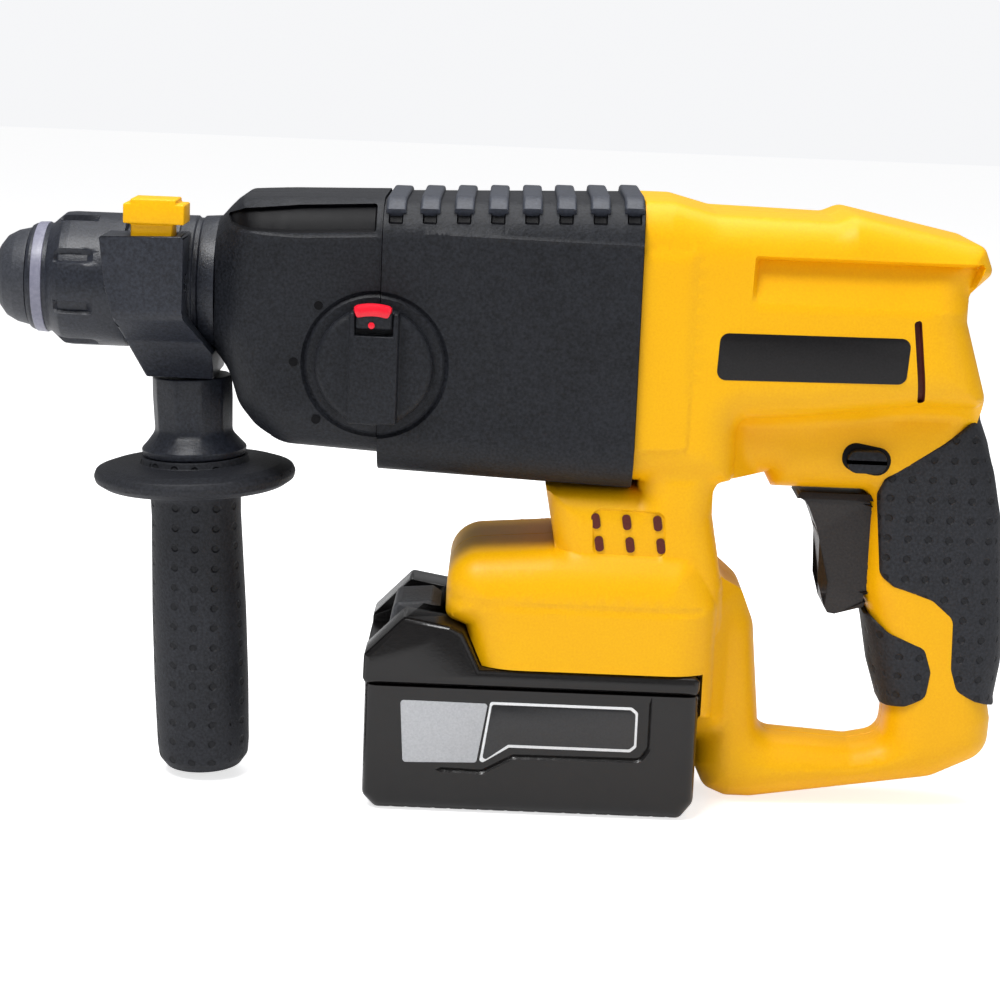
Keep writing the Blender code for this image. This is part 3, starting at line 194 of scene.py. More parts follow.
@dataclass(frozen=True)
class Finish:
    """A surface with a grain, a drift of colour and small uneven gloss."""

    name: str
    colour: tuple[float, float, float]
    drift: tuple[float, float, float]
    roughness: float = 0.45
    uneven: float = 0.08
    grain: float = 1400.0
    relief: float = 0.12
    deep: float = 0.25
    metallic: float = 0.0
    coat: float = 0.0
    specular: float = 0.5
    stretch: tuple[float, float, float] = (1.0, 1.0, 1.0)

    def pattern(self, graph: Graph, place: Wire, height: Wire, shade: Wire) -> tuple[Wire, Wire]:
        """Gives the height and the shade that make the surface; a finish with a pattern changes them."""
        return height, shade

    @cache
    def material(self) -> bpy.types.Material:
        """Makes the material the first time that it is asked for.

        Returns:
            The material.
        """
        made = bpy.data.materials.new(self.name)
        made.use_nodes = True
        graph = Graph(made.node_tree)
        place = graph.add("ShaderNodeTexCoord", out="Object")
        place = graph.add("ShaderNodeMapping", {}, {"Vector": place, "Scale": self.stretch})
        fine = graph.add(
            "ShaderNodeTexNoise", {}, {"Vector": place, "Scale": self.grain, "Detail": 3.0, "Roughness": 0.6}
        )
        broad = graph.add("ShaderNodeTexNoise", {}, {"Vector": place, "Scale": 38.0, "Detail": 4.0})
        speck = graph.add(
            "ShaderNodeTexNoise", {}, {"Vector": place, "Scale": self.grain * 0.8, "Detail": 2.0}
        )
        mottle = (speck - 0.5) * 2.0 + (broad - 0.5) * 0.7 + 0.5
        height, shade = self.pattern(graph, place, fine, mottle)
        colour = graph.node(
            "ShaderNodeMix", {"data_type": "RGBA"},
            {0: shade, 6: (*self.colour, 1.0), 7: (*self.drift, 1.0)},
        )
        bump = graph.add(
            "ShaderNodeBump", {}, {"Height": height, "Strength": self.relief, "Distance": self.deep * MM}
        )
        shader = graph.add(
            "ShaderNodeBsdfPrincipled", {},
            {
                "Base Color": Wire(graph, colour.outputs[2]),
                "Roughness": (broad - 0.5) * (self.uneven * 2) + self.roughness,
                "Metallic": self.metallic,
                "Coat Weight": self.coat,
                "Coat Roughness": 0.12,
                "Specular IOR Level": self.specular,
                "Normal": bump,
            },
        )
        graph.node("ShaderNodeOutputMaterial", {}, {"Surface": shader})
        return made


@dataclass(frozen=True)
class DimpledRubber(Finish):
    """Soft rubber with rows of shallow dimples."""

    pitch: float = 7.0

    def pattern(self, graph: Graph, place: Wire, height: Wire, shade: Wire) -> tuple[Wire, Wire]:
        """Sinks a staggered grid of round dimples and darkens their colour as painted shade.

        Args:
            graph: The material's tree.
            place: The coordinates.
            height: The height of the plain grain.
            shade: The shade of the plain surface.

        Returns:
            The height and the shade with dimples.
        """
        parts = graph.node("ShaderNodeSeparateXYZ", {}, {"Vector": place})
        facing = graph.add("ShaderNodeTexCoord", out="Normal")
        lean = graph.node("ShaderNodeSeparateXYZ", {}, {"Vector": facing})
        lean_x, lean_y, lean_z = (Wire(graph, lean.outputs[axis]).math("ABSOLUTE") for axis in "XYZ")
        endwise = lean_x > lean_y
        turns = math.tau / (self.pitch * MM)
        along = Wire(graph, parts.outputs["X"]) * turns
        across = Wire(graph, parts.outputs["Y"]) * turns
        up = Wire(graph, parts.outputs["Z"]) * turns
        wave = along.math("COSINE") * (1.0 - endwise) + across.math("COSINE") * endwise + up.math("COSINE")
        upright = 1.0 - (lean_z > 0.5)
        dimple = ((wave - 1.25) * 2.2).math("MAXIMUM", 0.0).math("MINIMUM", 1.0) * upright
        # The dimples' colour moves to the darker tone: painted shade in each dimple.
        return height * 0.25 + (1.0 - dimple), shade - dimple * 0.8


YELLOW = Finish(
    "yellow_moulding", (0.88, 0.42, 0.0), (0.93, 0.49, 0.0), 0.42, 0.05, 1700, 0.10, specular=0.25
)
BLACK = Finish(
    "black_moulding", (0.003, 0.0035, 0.005), (0.017, 0.019, 0.025), 0.52, 0.08, 1300, 0.5, specular=0.28
)
# The ribs are the shroud's own black plastic; this lighter grey is a painted highlight of the top light on
# them.
RIB_HIGHLIGHT_GREY = Finish("rib_painted_highlight", (0.018, 0.021, 0.030), (0.045, 0.052, 0.072), 0.46, 0.08, 1300, 0.4)
CHUCK_GREY = Finish(
    "chuck_moulding", (0.006, 0.007, 0.011), (0.026, 0.030, 0.042), 0.38, 0.08, 1300, 0.4, specular=0.4
)
CHUCK_BAND = Finish("chuck_band", (0.17, 0.17, 0.23), (0.24, 0.24, 0.31), 0.36, 0.05, 900, 0.12)
RUBBER = DimpledRubber(
    "dimpled_rubber", (0.006, 0.0065, 0.009), (0.024, 0.026, 0.033), 0.60, 0.08, 1300, 1.0, 0.5, specular=0.35
)
RUBBER_PLAIN = Finish("plain_rubber", (0.016, 0.018, 0.024), (0.042, 0.046, 0.058), 0.48, 0.08, 1400, 0.4)
TRIGGER = Finish(
    "trigger_moulding", (0.008, 0.006, 0.006), (0.022, 0.017, 0.016), 0.36, 0.06, 1400, 0.3, specular=0.4
)
PACK = Finish(
    "battery_moulding", (0.003, 0.0025, 0.0025), (0.009, 0.008, 0.008), 0.24, 0.06, 1200, 0.2, coat=0.15,
    specular=0.35,
)
LATCH = Finish("latch_moulding", (0.040, 0.042, 0.048), (0.090, 0.094, 0.104), 0.5, 0.08, 1100, 0.8)
LABEL = Finish("label_black", (0.006, 0.006, 0.007), (0.013, 0.013, 0.015), 0.3, 0.04, 2000, 0.05, coat=0.2)
LABEL_GREY = Finish("label_grey", (0.40, 0.41, 0.43), (0.50, 0.51, 0.53), 0.36, 0.04, 2000, 0.05)
LABEL_WHITE = Finish("label_white", (0.72, 0.73, 0.74), (0.82, 0.83, 0.84), 0.4, 0.04, 2000, 0.05)
BADGE = Finish(
    "badge_black", (0.003, 0.0025, 0.003), (0.009, 0.008, 0.009), 0.32, 0.05, 1800, 0.1, specular=0.3
)
# Near-black: the dial's position marks, and painted shade on recess floors and round the direction button.
MARK_AND_SHADE = Finish(
    "mark_and_painted_shade", (0.001, 0.001, 0.002), (0.003, 0.003, 0.004), 0.5, 0.05, 1500, 0.1, specular=0.15
)
RED = Finish("red_insert", (0.80, 0.003, 0.020), (0.90, 0.006, 0.030), 0.34, 0.05, 1500, 0.08)
# Dark red-brown painted shade, standing for the shadowed inside of vent slots and slot recesses.
VENT_SHADE = Finish("vent_shadow", (0.070, 0.004, 0.001), (0.120, 0.010, 0.002), 0.7, 0.06, 1500, 0.1)
GROUND_STEEL = Finish(
    "steel_ground", (0.42, 0.43, 0.45), (0.55, 0.56, 0.58), 0.28, 0.1, 900, 0.3, metallic=1.0,
    stretch=(1, 14, 14),
)
DARK_STEEL = Finish(
    "steel_black", (0.055, 0.055, 0.06), (0.11, 0.11, 0.12), 0.36, 0.1, 1200, 0.3, metallic=0.9
)
ALUMINIUM = Finish(
    "aluminium_cast", (0.50, 0.51, 0.53), (0.62, 0.63, 0.65), 0.46, 0.1, 700, 0.8, metallic=1.0
)
COPPER = Finish(
    "copper_wire", (0.55, 0.20, 0.09), (0.72, 0.30, 0.15), 0.34, 0.08, 1100, 0.8, metallic=1.0,
    stretch=(6, 1, 1),
)
BOARD = Finish("board_green", (0.006, 0.075, 0.030), (0.010, 0.12, 0.05), 0.4, 0.06, 900, 0.3, coat=0.2)
CELL = Finish("cell_film", (0.02, 0.12, 0.34), (0.03, 0.16, 0.42), 0.3, 0.05, 900, 0.1, coat=0.2)
INSIDE = {
    "yellow_plastic": YELLOW, "black_plastic": BLACK, "grip_rubber": RUBBER, "battery_plastic": PACK,
    "label_film": LABEL, "red_plastic": RED, "ground_steel": GROUND_STEEL, "blackened_steel": DARK_STEEL,
    "cast_aluminium": ALUMINIUM, "copper_winding": COPPER, "circuit_board": BOARD, "cell_wrap": CELL,
}


# ------------------------------------------------------------------ outlines


def rounded(corners: Sequence[Corner], closed: bool = True, spacing: float = 1.8) -> np.ndarray:
    """Turns corners into a fine outline.

    Args:
        corners: Two coordinates and a corner radius each.
        closed: Whether the last corner joins the first.
        spacing: The longest step along a straight stretch.

    Returns:
        The outline's points.
    """
    points: list[np.ndarray] = []
    count = len(corners)
    for i, (u, v, radius) in enumerate(corners):
        here = np.array((u, v), float)
        if radius <= 0 or (not closed and i in (0, count - 1)):
            points.append(here)
            continue
        back = np.array(corners[i - 1][:2]) - here
        ahead = np.array(corners[(i + 1) % count][:2]) - here
        reach = min(np.linalg.norm(back), np.linalg.norm(ahead)) * 0.49
        back, ahead = back / np.linalg.norm(back), ahead / np.linalg.norm(ahead)
        half = math.acos(float(np.clip(back @ ahead, -1, 1))) / 2
        if half > 1.54:
            points.append(here)
            continue
        cut = min(radius / math.tan(half), reach)
        radius = cut * math.tan(half)
        centre = here + (back + ahead) / np.linalg.norm(back + ahead) * radius / math.sin(half)
        first = here + back * cut - centre
        last = here + ahead * cut - centre
        turn = math.atan2(first[0] * last[1] - first[1] * last[0], first @ last)
        steps = max(3, math.ceil(abs(turn) * radius / spacing), math.ceil(abs(turn) / 0.28))
        for step in range(steps + 1):
            angle = turn * step / steps
            c, s = math.cos(angle), math.sin(angle)
            points.append(centre + (first[0] * c - first[1] * s, first[0] * s + first[1] * c))
    fine: list[np.ndarray] = []
    ends = points[1:] + (points[:1] if closed else [])
    for start, end in zip(points, ends):
        parts = max(1, math.ceil(float(np.linalg.norm(end - start)) / spacing))
        fine.extend(start + (end - start) * k / parts for k in range(parts))
    if not closed:
        fine.append(points[-1])
    return np.array(fine)


def circle(u: float, v: float, radius: float, count: int = 40) -> list[Corner]:
    """Returns the corners of a circle."""
    turns = (math.tau * k / count for k in range(count))
    return [(u + radius * math.cos(t), v + radius * math.sin(t), 0.0) for t in turns]


def distance(points: np.ndarray, line: np.ndarray, closed: bool = True) -> np.ndarray:
    """Measures how far points lie from a line.

    Args:
        points: The points.
        line: The line's points.
        closed: Whether the line is a loop, whose inside counts as positive and outside as negative.

    Returns:
        One distance for each point.
    """
    starts = line if closed else line[:-1]
    ends = np.roll(line, -1, axis=0) if closed else line[1:]
    nearest = np.full(len(points), 1e9)
    inside = np.zeros(len(points), bool)
    for start, end in zip(starts, ends):
        run = end - start
        offset = points - start
        along = np.clip(offset @ run / max(run @ run, 1e-12), 0, 1)
        nearest = np.minimum(nearest, np.hypot(*(offset - along[:, None] * run).T))
        if closed and run[1] != 0:
            crosses = (start[1] > points[:, 1]) != (end[1] > points[:, 1])
            inside ^= crosses & (points[:, 0] < start[0] + offset[:, 1] * run[0] / run[1])
    return np.where(inside, nearest, -nearest) if closed else nearest


def beside(line: np.ndarray, offset: float, closed: bool = True) -> np.ndarray:
    """Moves a line sideways.

    Args:
        line: The line's points.
        offset: How far, positive to the left of its direction.
        closed: Whether the line is a loop.

    Returns:
        The moved points that stay that far from the line.
    """
    if closed:
        tangent = np.roll(line, -1, axis=0) - np.roll(line, 1, axis=0)
    else:
        tangent = np.gradient(line, axis=0)
    tangent /= np.maximum(np.linalg.norm(tangent, axis=1, keepdims=True), 1e-9)
    moved = line + np.stack((-tangent[:, 1], tangent[:, 0]), axis=1) * offset
    clear = np.abs(distance(moved, line, closed)) > abs(offset) * 0.93
    return moved[clear]


def anticlockwise(line: np.ndarray) -> np.ndarray:
    """Returns the loop turned so that its inside is on the left."""
    after = np.roll(line, -1, axis=0)
    area = (line[:, 0] * after[:, 1] - after[:, 0] * line[:, 1]).sum()
    return line if area > 0 else line[::-1]


# ------------------------------------------------------------------- reliefs


@dataclass(frozen=True)
class Block:
    """One thickness of a moulding, rounded off towards its outline."""

    corners: Sequence[Corner]
    half_width: Widths
    run: float
    fall: float
    hole: Sequence[Corner] = ()
    spread: float = 0.0
    skirt: float = 1.3

    def loops(self) -> list[np.ndarray]:
        """Returns the block's outline and its hole, both with the solid on their left."""
        loops = [anticlockwise(rounded(self.corners))]
        if self.hole:
            loops.append(anticlockwise(rounded(self.hole))[::-1])
        return loops

    def height(self, points: np.ndarray) -> np.ndarray:
        """Measures the block's half thickness.

        Args:
            points: Where it is wanted.

        Returns:
            The half thickness at each point, which falls away outside as a skirt.
        """
        depth = distance(points, rounded(self.corners)) + self.spread
        if self.hole:
            depth = np.minimum(depth, self.spread - distance(points, rounded(self.hole)))
        wide = self.half_width(points[:, 0]) if callable(self.half_width) else self.half_width
        share = np.clip(depth / self.run, 0, 1)
        tall = wide - self.fall + self.fall * np.sqrt(1 - (1 - share) ** 2)
        return tall + np.minimum(depth, 0) * self.skirt


@dataclass(frozen=True)
class Detail:
    """A pocket, a raised panel or a groove in a moulding's face."""

    corners: Sequence[Corner]
    depth: float
    wall: float = 0.6
    groove: bool = False
    closed: bool = True
    sides: tuple[Side, ...] = (Side.LEFT, Side.RIGHT)
    fade: tuple[float, float] | None = None
    # Faces inside a dark detail take the piece's second material: painted shade in the recess.
    dark: bool = False

    def lines(self) -> list[tuple[np.ndarray, bool]]:
        """Returns the lines that the mesh needs, each with whether it is a loop."""
        line = rounded(self.corners, self.closed, 1.4)
        if self.closed:
            line = anticlockwise(line)
        offsets = (-self.wall, 0.0, self.wall) if self.groove else (0.0, self.wall)
        found = [(beside(line, o, self.closed) if o else line, self.closed) for o in offsets]
        return [(points, loop) for points, loop in found if len(points) > 3]

    def change(self, points: np.ndarray) -> np.ndarray:
        """Measures how much the face moves outwards.

        Args:
            points: Where it is wanted.

        Returns:
            The change at each point.
        """
        line = rounded(self.corners, self.closed, 1.4)
        away = distance(points, line, self.closed)
        if self.groove:
            return -self.depth * np.clip(1 - (away / self.wall) ** 2, 0, 1)
        deep = np.clip(away / self.wall, 0, 1)
        if self.fade:
            deep = deep * np.clip((points[:, 1] - self.fade[0]) / (self.fade[1] - self.fade[0]), 0, 1)
        return -self.depth * deep


@dataclass(frozen=True)
class Moulding:
    """A moulded half shell: a face raised from the middle plane over outlines."""

    name: str
    region: Sequence[Sequence[Corner]]
    blocks: Sequence[Block]
    holes: Sequence[Sequence[Corner]] = ()
    details: Sequence[Detail] = ()
    lip: float = 0.0
    seam: float = 0.35
    blend: float = 3.2

    def height(self, points: np.ndarray, side: Side) -> np.ndarray:
        """Measures the face's distance from the middle plane.

        Args:
            points: Where it is wanted.
            side: The half.

        Returns:
            The distance at each point.
        """
        tall = self.blocks[0].height(points)
        for block in self.blocks[1:]:
            other = block.height(points)
            near = np.clip(1 - np.abs(tall - other) / self.blend, 0, 1)
            tall = np.maximum(tall, other) + near**2 * self.blend / 4
        for detail in self.details:
            if side in detail.sides:
                tall = tall + detail.change(points)
        if self.lip:
            edge = np.max([distance(points, rounded(loop)) for loop in self.region], axis=0)
            tall = tall - self.lip * (1 - np.clip(edge / self.lip, 0, 1)) ** 2
        return np.maximum(tall, 0.6)

    def sheet(self, side: Side) -> tuple[np.ndarray, list[list[int]]]:
        """Triangulates the half's outline.

        Args:
            side: The half.

        Returns:
            Flat points and triangles.
        """
        points: list[np.ndarray] = []
        edges: list[tuple[int, int]] = []
        count = 0

        def take(line: np.ndarray, closed: bool | None) -> None:
            """Adds a line's points, and its edges unless closed is None."""
            nonlocal count
            points.append(line)
            steps = np.linalg.norm(np.roll(line, -1, axis=0) - line, axis=1)
            if closed is not None:
                last = len(line) if closed else len(line) - 1
                edges.extend(
                    (count + k, count + (k + 1) % len(line)) for k in range(last) if steps[k] < 4
                )
            count += len(line)

        for loop in (*self.region, *self.holes):
            take(rounded(loop), True)
        for block in self.blocks:
            for loop in block.loops():
                take(loop, True)
                if len(self.blocks) > 1:
                    for outward in (0.7, 1.6, 2.6, 3.8, 5.4):
                        take(beside(loop, -outward), None)
                for step in range(1, 7):
                    inward = block.run * (1 - math.cos(step * math.pi / 12)) - block.spread
                    if inward > 0.15:
                        take(beside(loop, inward), None)
        if self.lip:
            for loop in self.region:
                take(beside(anticlockwise(rounded(loop)), self.lip * 0.45), None)
                take(beside(anticlockwise(rounded(loop)), self.lip), None)
        for detail in self.details:
            if side in detail.sides:
                for line, closed in detail.lines():
                    take(line, closed)
        every = np.concatenate([rounded(loop) for loop in self.region])
        low, high = every.min(axis=0), every.max(axis=0)
        grid = np.stack(np.meshgrid(np.arange(low[0], high[0], 5.0), np.arange(low[1], high[1], 5.0)), -1)
        take(grid.reshape(-1, 2), None)
        coords = [Vector(p) for p in np.concatenate(points)]
        found, _, faces, *_ = delaunay_2d_cdt(coords, edges, [], 0, 0.02)
        flat = np.array([tuple(p) for p in found])
        triangles = np.array([tuple(f) for f in faces])
        middle = flat[triangles].mean(axis=1)
        keep = np.max([distance(middle, rounded(loop)) for loop in self.region], axis=0) > 0
        for loop in self.holes:
            keep &= distance(middle, rounded(loop)) < 0
        return flat, triangles[keep].tolist()

    def half(self, side: Side) -> bpy.types.Object:
        """Builds one half.

        Args:
            side: The half.

        Returns:
            The object, whose open edge lies in the middle plane.
        """
        flat, triangles = self.sheet(side)
        tall = self.height(flat, side)
        sign = side.value
        mesh = bmesh.new()
        used = sorted({i for face in triangles for i in face})
        top = {i: mesh.verts.new((flat[i][0], sign * tall[i], flat[i][1])) for i in used}
        middle = flat[np.array(triangles)].mean(axis=1)
        shaded = np.zeros(len(triangles), bool)
        for detail in self.details:
            if detail.dark and side in detail.sides:
                shaded |= distance(middle, rounded(detail.corners, True, 1.4)) > 0
        for face, dark in zip(triangles, shaded):
            order = face if side is Side.LEFT else face[::-1]
            mesh.faces.new([top[i] for i in order]).material_index = int(dark)
        directed = {(a, b) for face in triangles for a, b in zip(face, face[1:] + face[:1])}
        border = [(a, b) for a, b in directed if (b, a) not in directed]
        inward: dict[int, np.ndarray] = {}
        for a, b in border:
            run = flat[b] - flat[a]
            left = np.array((-run[1], run[0])) / max(np.linalg.norm(run), 1e-9)
            for i in (a, b):
                inward[i] = inward.get(i, np.zeros(2)) + left
        rows: list[dict[int, bmesh.types.BMVert]] = [{i: top[i] for i in inward}]
        for level, inset in ((self.seam, 0.0), (0.0, self.seam)):
            row = {}
            for i, left in inward.items():
                spot = flat[i] + left / max(np.linalg.norm(left), 1e-9) * inset
                row[i] = mesh.verts.new((spot[0], sign * level, spot[1]))
            rows.append(row)
        for upper, lower in zip(rows, rows[1:]):
            for a, b in border:
                quad = [upper[b], upper[a], lower[a], lower[b]]
                mesh.faces.new(quad if side is Side.LEFT else quad[::-1])
        name = f"{self.name}_{side.name.lower()}"
        return finish_mesh(name, mesh, 34)

    def whole(self) -> bpy.types.Object:
        """Returns both halves as one closed object."""
        mesh = bmesh.new()
        for side in Side:
            half = self.half(side)
            half.data.transform(Matrix.Scale(1 / MM, 4))
            mesh.from_mesh(half.data)
            bpy.data.objects.remove(half)
        bmesh.ops.remove_doubles(mesh, verts=mesh.verts, dist=0.002)
        return finish_mesh(self.name, mesh, 34)


# -------------------------------------------------------------- mesh helpers


def finish_mesh(name: str, mesh: bmesh.types.BMesh, sharp: float) -> bpy.types.Object:
    """Makes an object of a mesh in millimetres.

    Args:
        name: The object's name.
        mesh: The mesh, which is freed.
        sharp: The angle in degrees above which an edge stays crisp.

    Returns:
        The object, in metres.
    """
    data = bpy.data.meshes.new(name)
    mesh.to_mesh(data)
    mesh.free()
    data.transform(Matrix.Scale(MM, 4))
    data.polygons.foreach_set("use_smooth", [True] * len(data.polygons))
    data.set_sharp_from_angle(angle=math.radians(sharp))
    made = bpy.data.objects.new(name, data)
    bpy.context.scene.collection.objects.link(made)
    return made


def turned(
    name: str, profile: Sequence[Corner], axis: Axis, sides: int = 96,
    shape: Callable[[float, float], float] | None = None, sharp: float = 34,
) -> bpy.types.Object:
    """Turns a profile about an axis.

    Args:
        name: The object's name.
        profile: Places along the axis, radii and corner radii, going round the section.
        axis: The line that it stands on.
        sides: Steps in a full turn.
        shape: What a radius is multiplied by, from the place along the axis and the angle.
        sharp: The angle in degrees above which an edge stays crisp.

    Returns:
        The object.
    """
    line = rounded(profile, False, 2.5)
    mesh = bmesh.new()
    rings = []
    for along, radius in line:
        ring = []
        for k in range(sides):
            angle = math.tau * k / sides
            r = max(radius, 0.01) * (shape(along, angle) if shape else 1.0)
            ring.append(mesh.verts.new((r * math.cos(angle), r * math.sin(angle), along)))
        rings.append(ring)
    for low, high in zip(rings, rings[1:]):
        for k in range(sides):
            n = (k + 1) % sides
            mesh.faces.new((low[k], low[n], high[n], high[k]))
    if np.hypot(*(line[0] - line[-1])) > 0.05:
        mesh.faces.new(rings[0][::-1])
        mesh.faces.new(rings[-1])
    bmesh.ops.remove_doubles(mesh, verts=mesh.verts, dist=0.01)
    bmesh.ops.transform(mesh, matrix=axis.place(), verts=mesh.verts)
    bmesh.ops.recalc_face_normals(mesh, faces=mesh.faces)
    return finish_mesh(name, mesh, sharp)


def softened(node: str, width: float, segments: int = 2) -> bpy.types.Object:
    """Copies a CAD node under its own name and rounds its edges.

    Args:
        node: The CAD node.
        width: The rounding's width.
        segments: The rounding's steps.

    Returns:
        The object.
    """
    mesh = bmesh.new()
    mesh.from_mesh(frame["nodes"][node].data)
    bmesh.ops.scale(mesh, vec=(1 / MM,) * 3, verts=mesh.verts)
    bmesh.ops.remove_doubles(mesh, verts=mesh.verts, dist=0.002)
    bmesh.ops.dissolve_limit(mesh, angle_limit=math.radians(0.6), verts=mesh.verts, edges=mesh.edges)
    bmesh.ops.recalc_face_normals(mesh, faces=mesh.faces)
    keen = [
        e for e in mesh.edges
        if e.is_manifold and e.calc_face_angle() > math.radians(28) and e.calc_length() > 2.2 * width
    ]
    bmesh.ops.bevel(
        mesh, geom=keen, offset=width, segments=segments, profile=0.5, affect="EDGES", clamp_overlap=False
    )
    return finish_mesh(node, mesh, 32)


def plate(name: str, corners: Sequence[Corner], low: float, high: float) -> bpy.types.Object:
    """Extrudes an outline in X and Z along Y.

    Args:
        name: The object's name.
        corners: The outline.
        low: Where it starts.
        high: Where it ends.

    Returns:
        The object, with slightly rounded edges.
    """
    mesh = bmesh.new()
    base = mesh.faces.new([mesh.verts.new((u, low, v)) for u, v in rounded(corners, spacing=6.0)])
    grown = bmesh.ops.extrude_face_region(mesh, geom=[base])["geom"]
    moved = [g for g in grown if isinstance(g, bmesh.types.BMVert)]
    bmesh.ops.translate(mesh, vec=(0, high - low, 0), verts=moved)
    bmesh.ops.recalc_face_normals(mesh, faces=mesh.faces)
    keen = [e for e in mesh.edges if e.calc_face_angle(0) > math.radians(50)]
    bmesh.ops.bevel(
        mesh, geom=keen, offset=abs(high - low) * 0.3, segments=2, profile=0.5, affect="EDGES",
        clamp_overlap=True,
    )
    return finish_mesh(name, mesh, 34)


def dress(
    piece: bpy.types.Object, finish: Finish, body: str, nodes: Sequence[str] = (),
    recess: Finish | None = None,
) -> bpy.types.Object:
    """Gives a piece its finish and its body.

    Args:
        piece: The piece.
        finish: Its finish.
        body: The body that it rides on.
        nodes: The CAD nodes that it stands for.
        recess: The finish painted as shade in its dark recesses, if it has any.

    Returns:
        The same piece.
    """
    if not piece.data.materials:
        piece.data.materials.append(finish.material())
    if recess:
        piece.data.materials.append(recess.material())
    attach(piece, body)
    if nodes:
        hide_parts(*nodes)
    log.info("%s: %d faces on %s", piece.name, len(piece.data.polygons), body)
    return piece


class Pattern:
    """A Geometry Nodes tree with named inputs."""

    def __init__(self, name: str) -> None:
        """Starts an empty tree."""
        self.tree = bpy.data.node_groups.new(name, "GeometryNodeTree")
        self.graph = Graph(self.tree)
        self.entry = self.graph.node("NodeGroupInput")
        self.values: dict[str, object] = {}

    def size(self, name: str, value: object, kind: str = "NodeSocketFloat") -> Wire:
        """Adds a named input.

        Args:
            name: Its name.
            value: What the piece sets it to.
            kind: Its socket type.

        Returns:
            The input as a wire.
        """
        item = self.tree.interface.new_socket(name, in_out="INPUT", socket_type=kind)
        self.values[item.identifier] = value
        return Wire(self.graph, self.entry.outputs[name])

    def make(self, shape: Wire, finish: Finish) -> bpy.types.Object:
        """Ends the tree and turns its result into a plain mesh.

        Args:
            shape: The geometry.
            finish: Its finish.

        Returns:
            The object.
        """
        cast = self.size("Finish", finish.material(), "NodeSocketMaterial")
        whole = self.graph.add("GeometryNodeRealizeInstances", {}, {"Geometry": shape})
        named = self.graph.add("GeometryNodeSetMaterial", {}, {"Geometry": whole, "Material": cast})
        self.tree.interface.new_socket("Geometry", in_out="OUTPUT", socket_type="NodeSocketGeometry")
        self.graph.node("NodeGroupOutput", {}, {0: named})
        name = self.tree.name
        made = bpy.data.objects.new(name, bpy.data.meshes.new(name + "_seed"))
        bpy.context.scene.collection.objects.link(made)
        modifier = made.modifiers.new("pattern", "NODES")
        modifier.node_group = self.tree
        for identifier, value in self.values.items():
            modifier[identifier] = value
        graph = bpy.context.evaluated_depsgraph_get()
        data = bpy.data.meshes.new_from_object(made.evaluated_get(graph))
        made.modifiers.remove(modifier)
        made.data = data
        data.polygons.foreach_set("use_smooth", [True] * len(data.polygons))
        data.set_sharp_from_angle(angle=math.radians(34))
        return made


def vector(graph: Graph, x: Wire | float = 0.0, y: Wire | float = 0.0, z: Wire | float = 0.0) -> Wire:
    """Returns a vector made of three values."""
    return graph.add("ShaderNodeCombineXYZ", {}, {"X": x, "Y": y, "Z": z})


# -------------------------------------------------------------- sub-assemblies


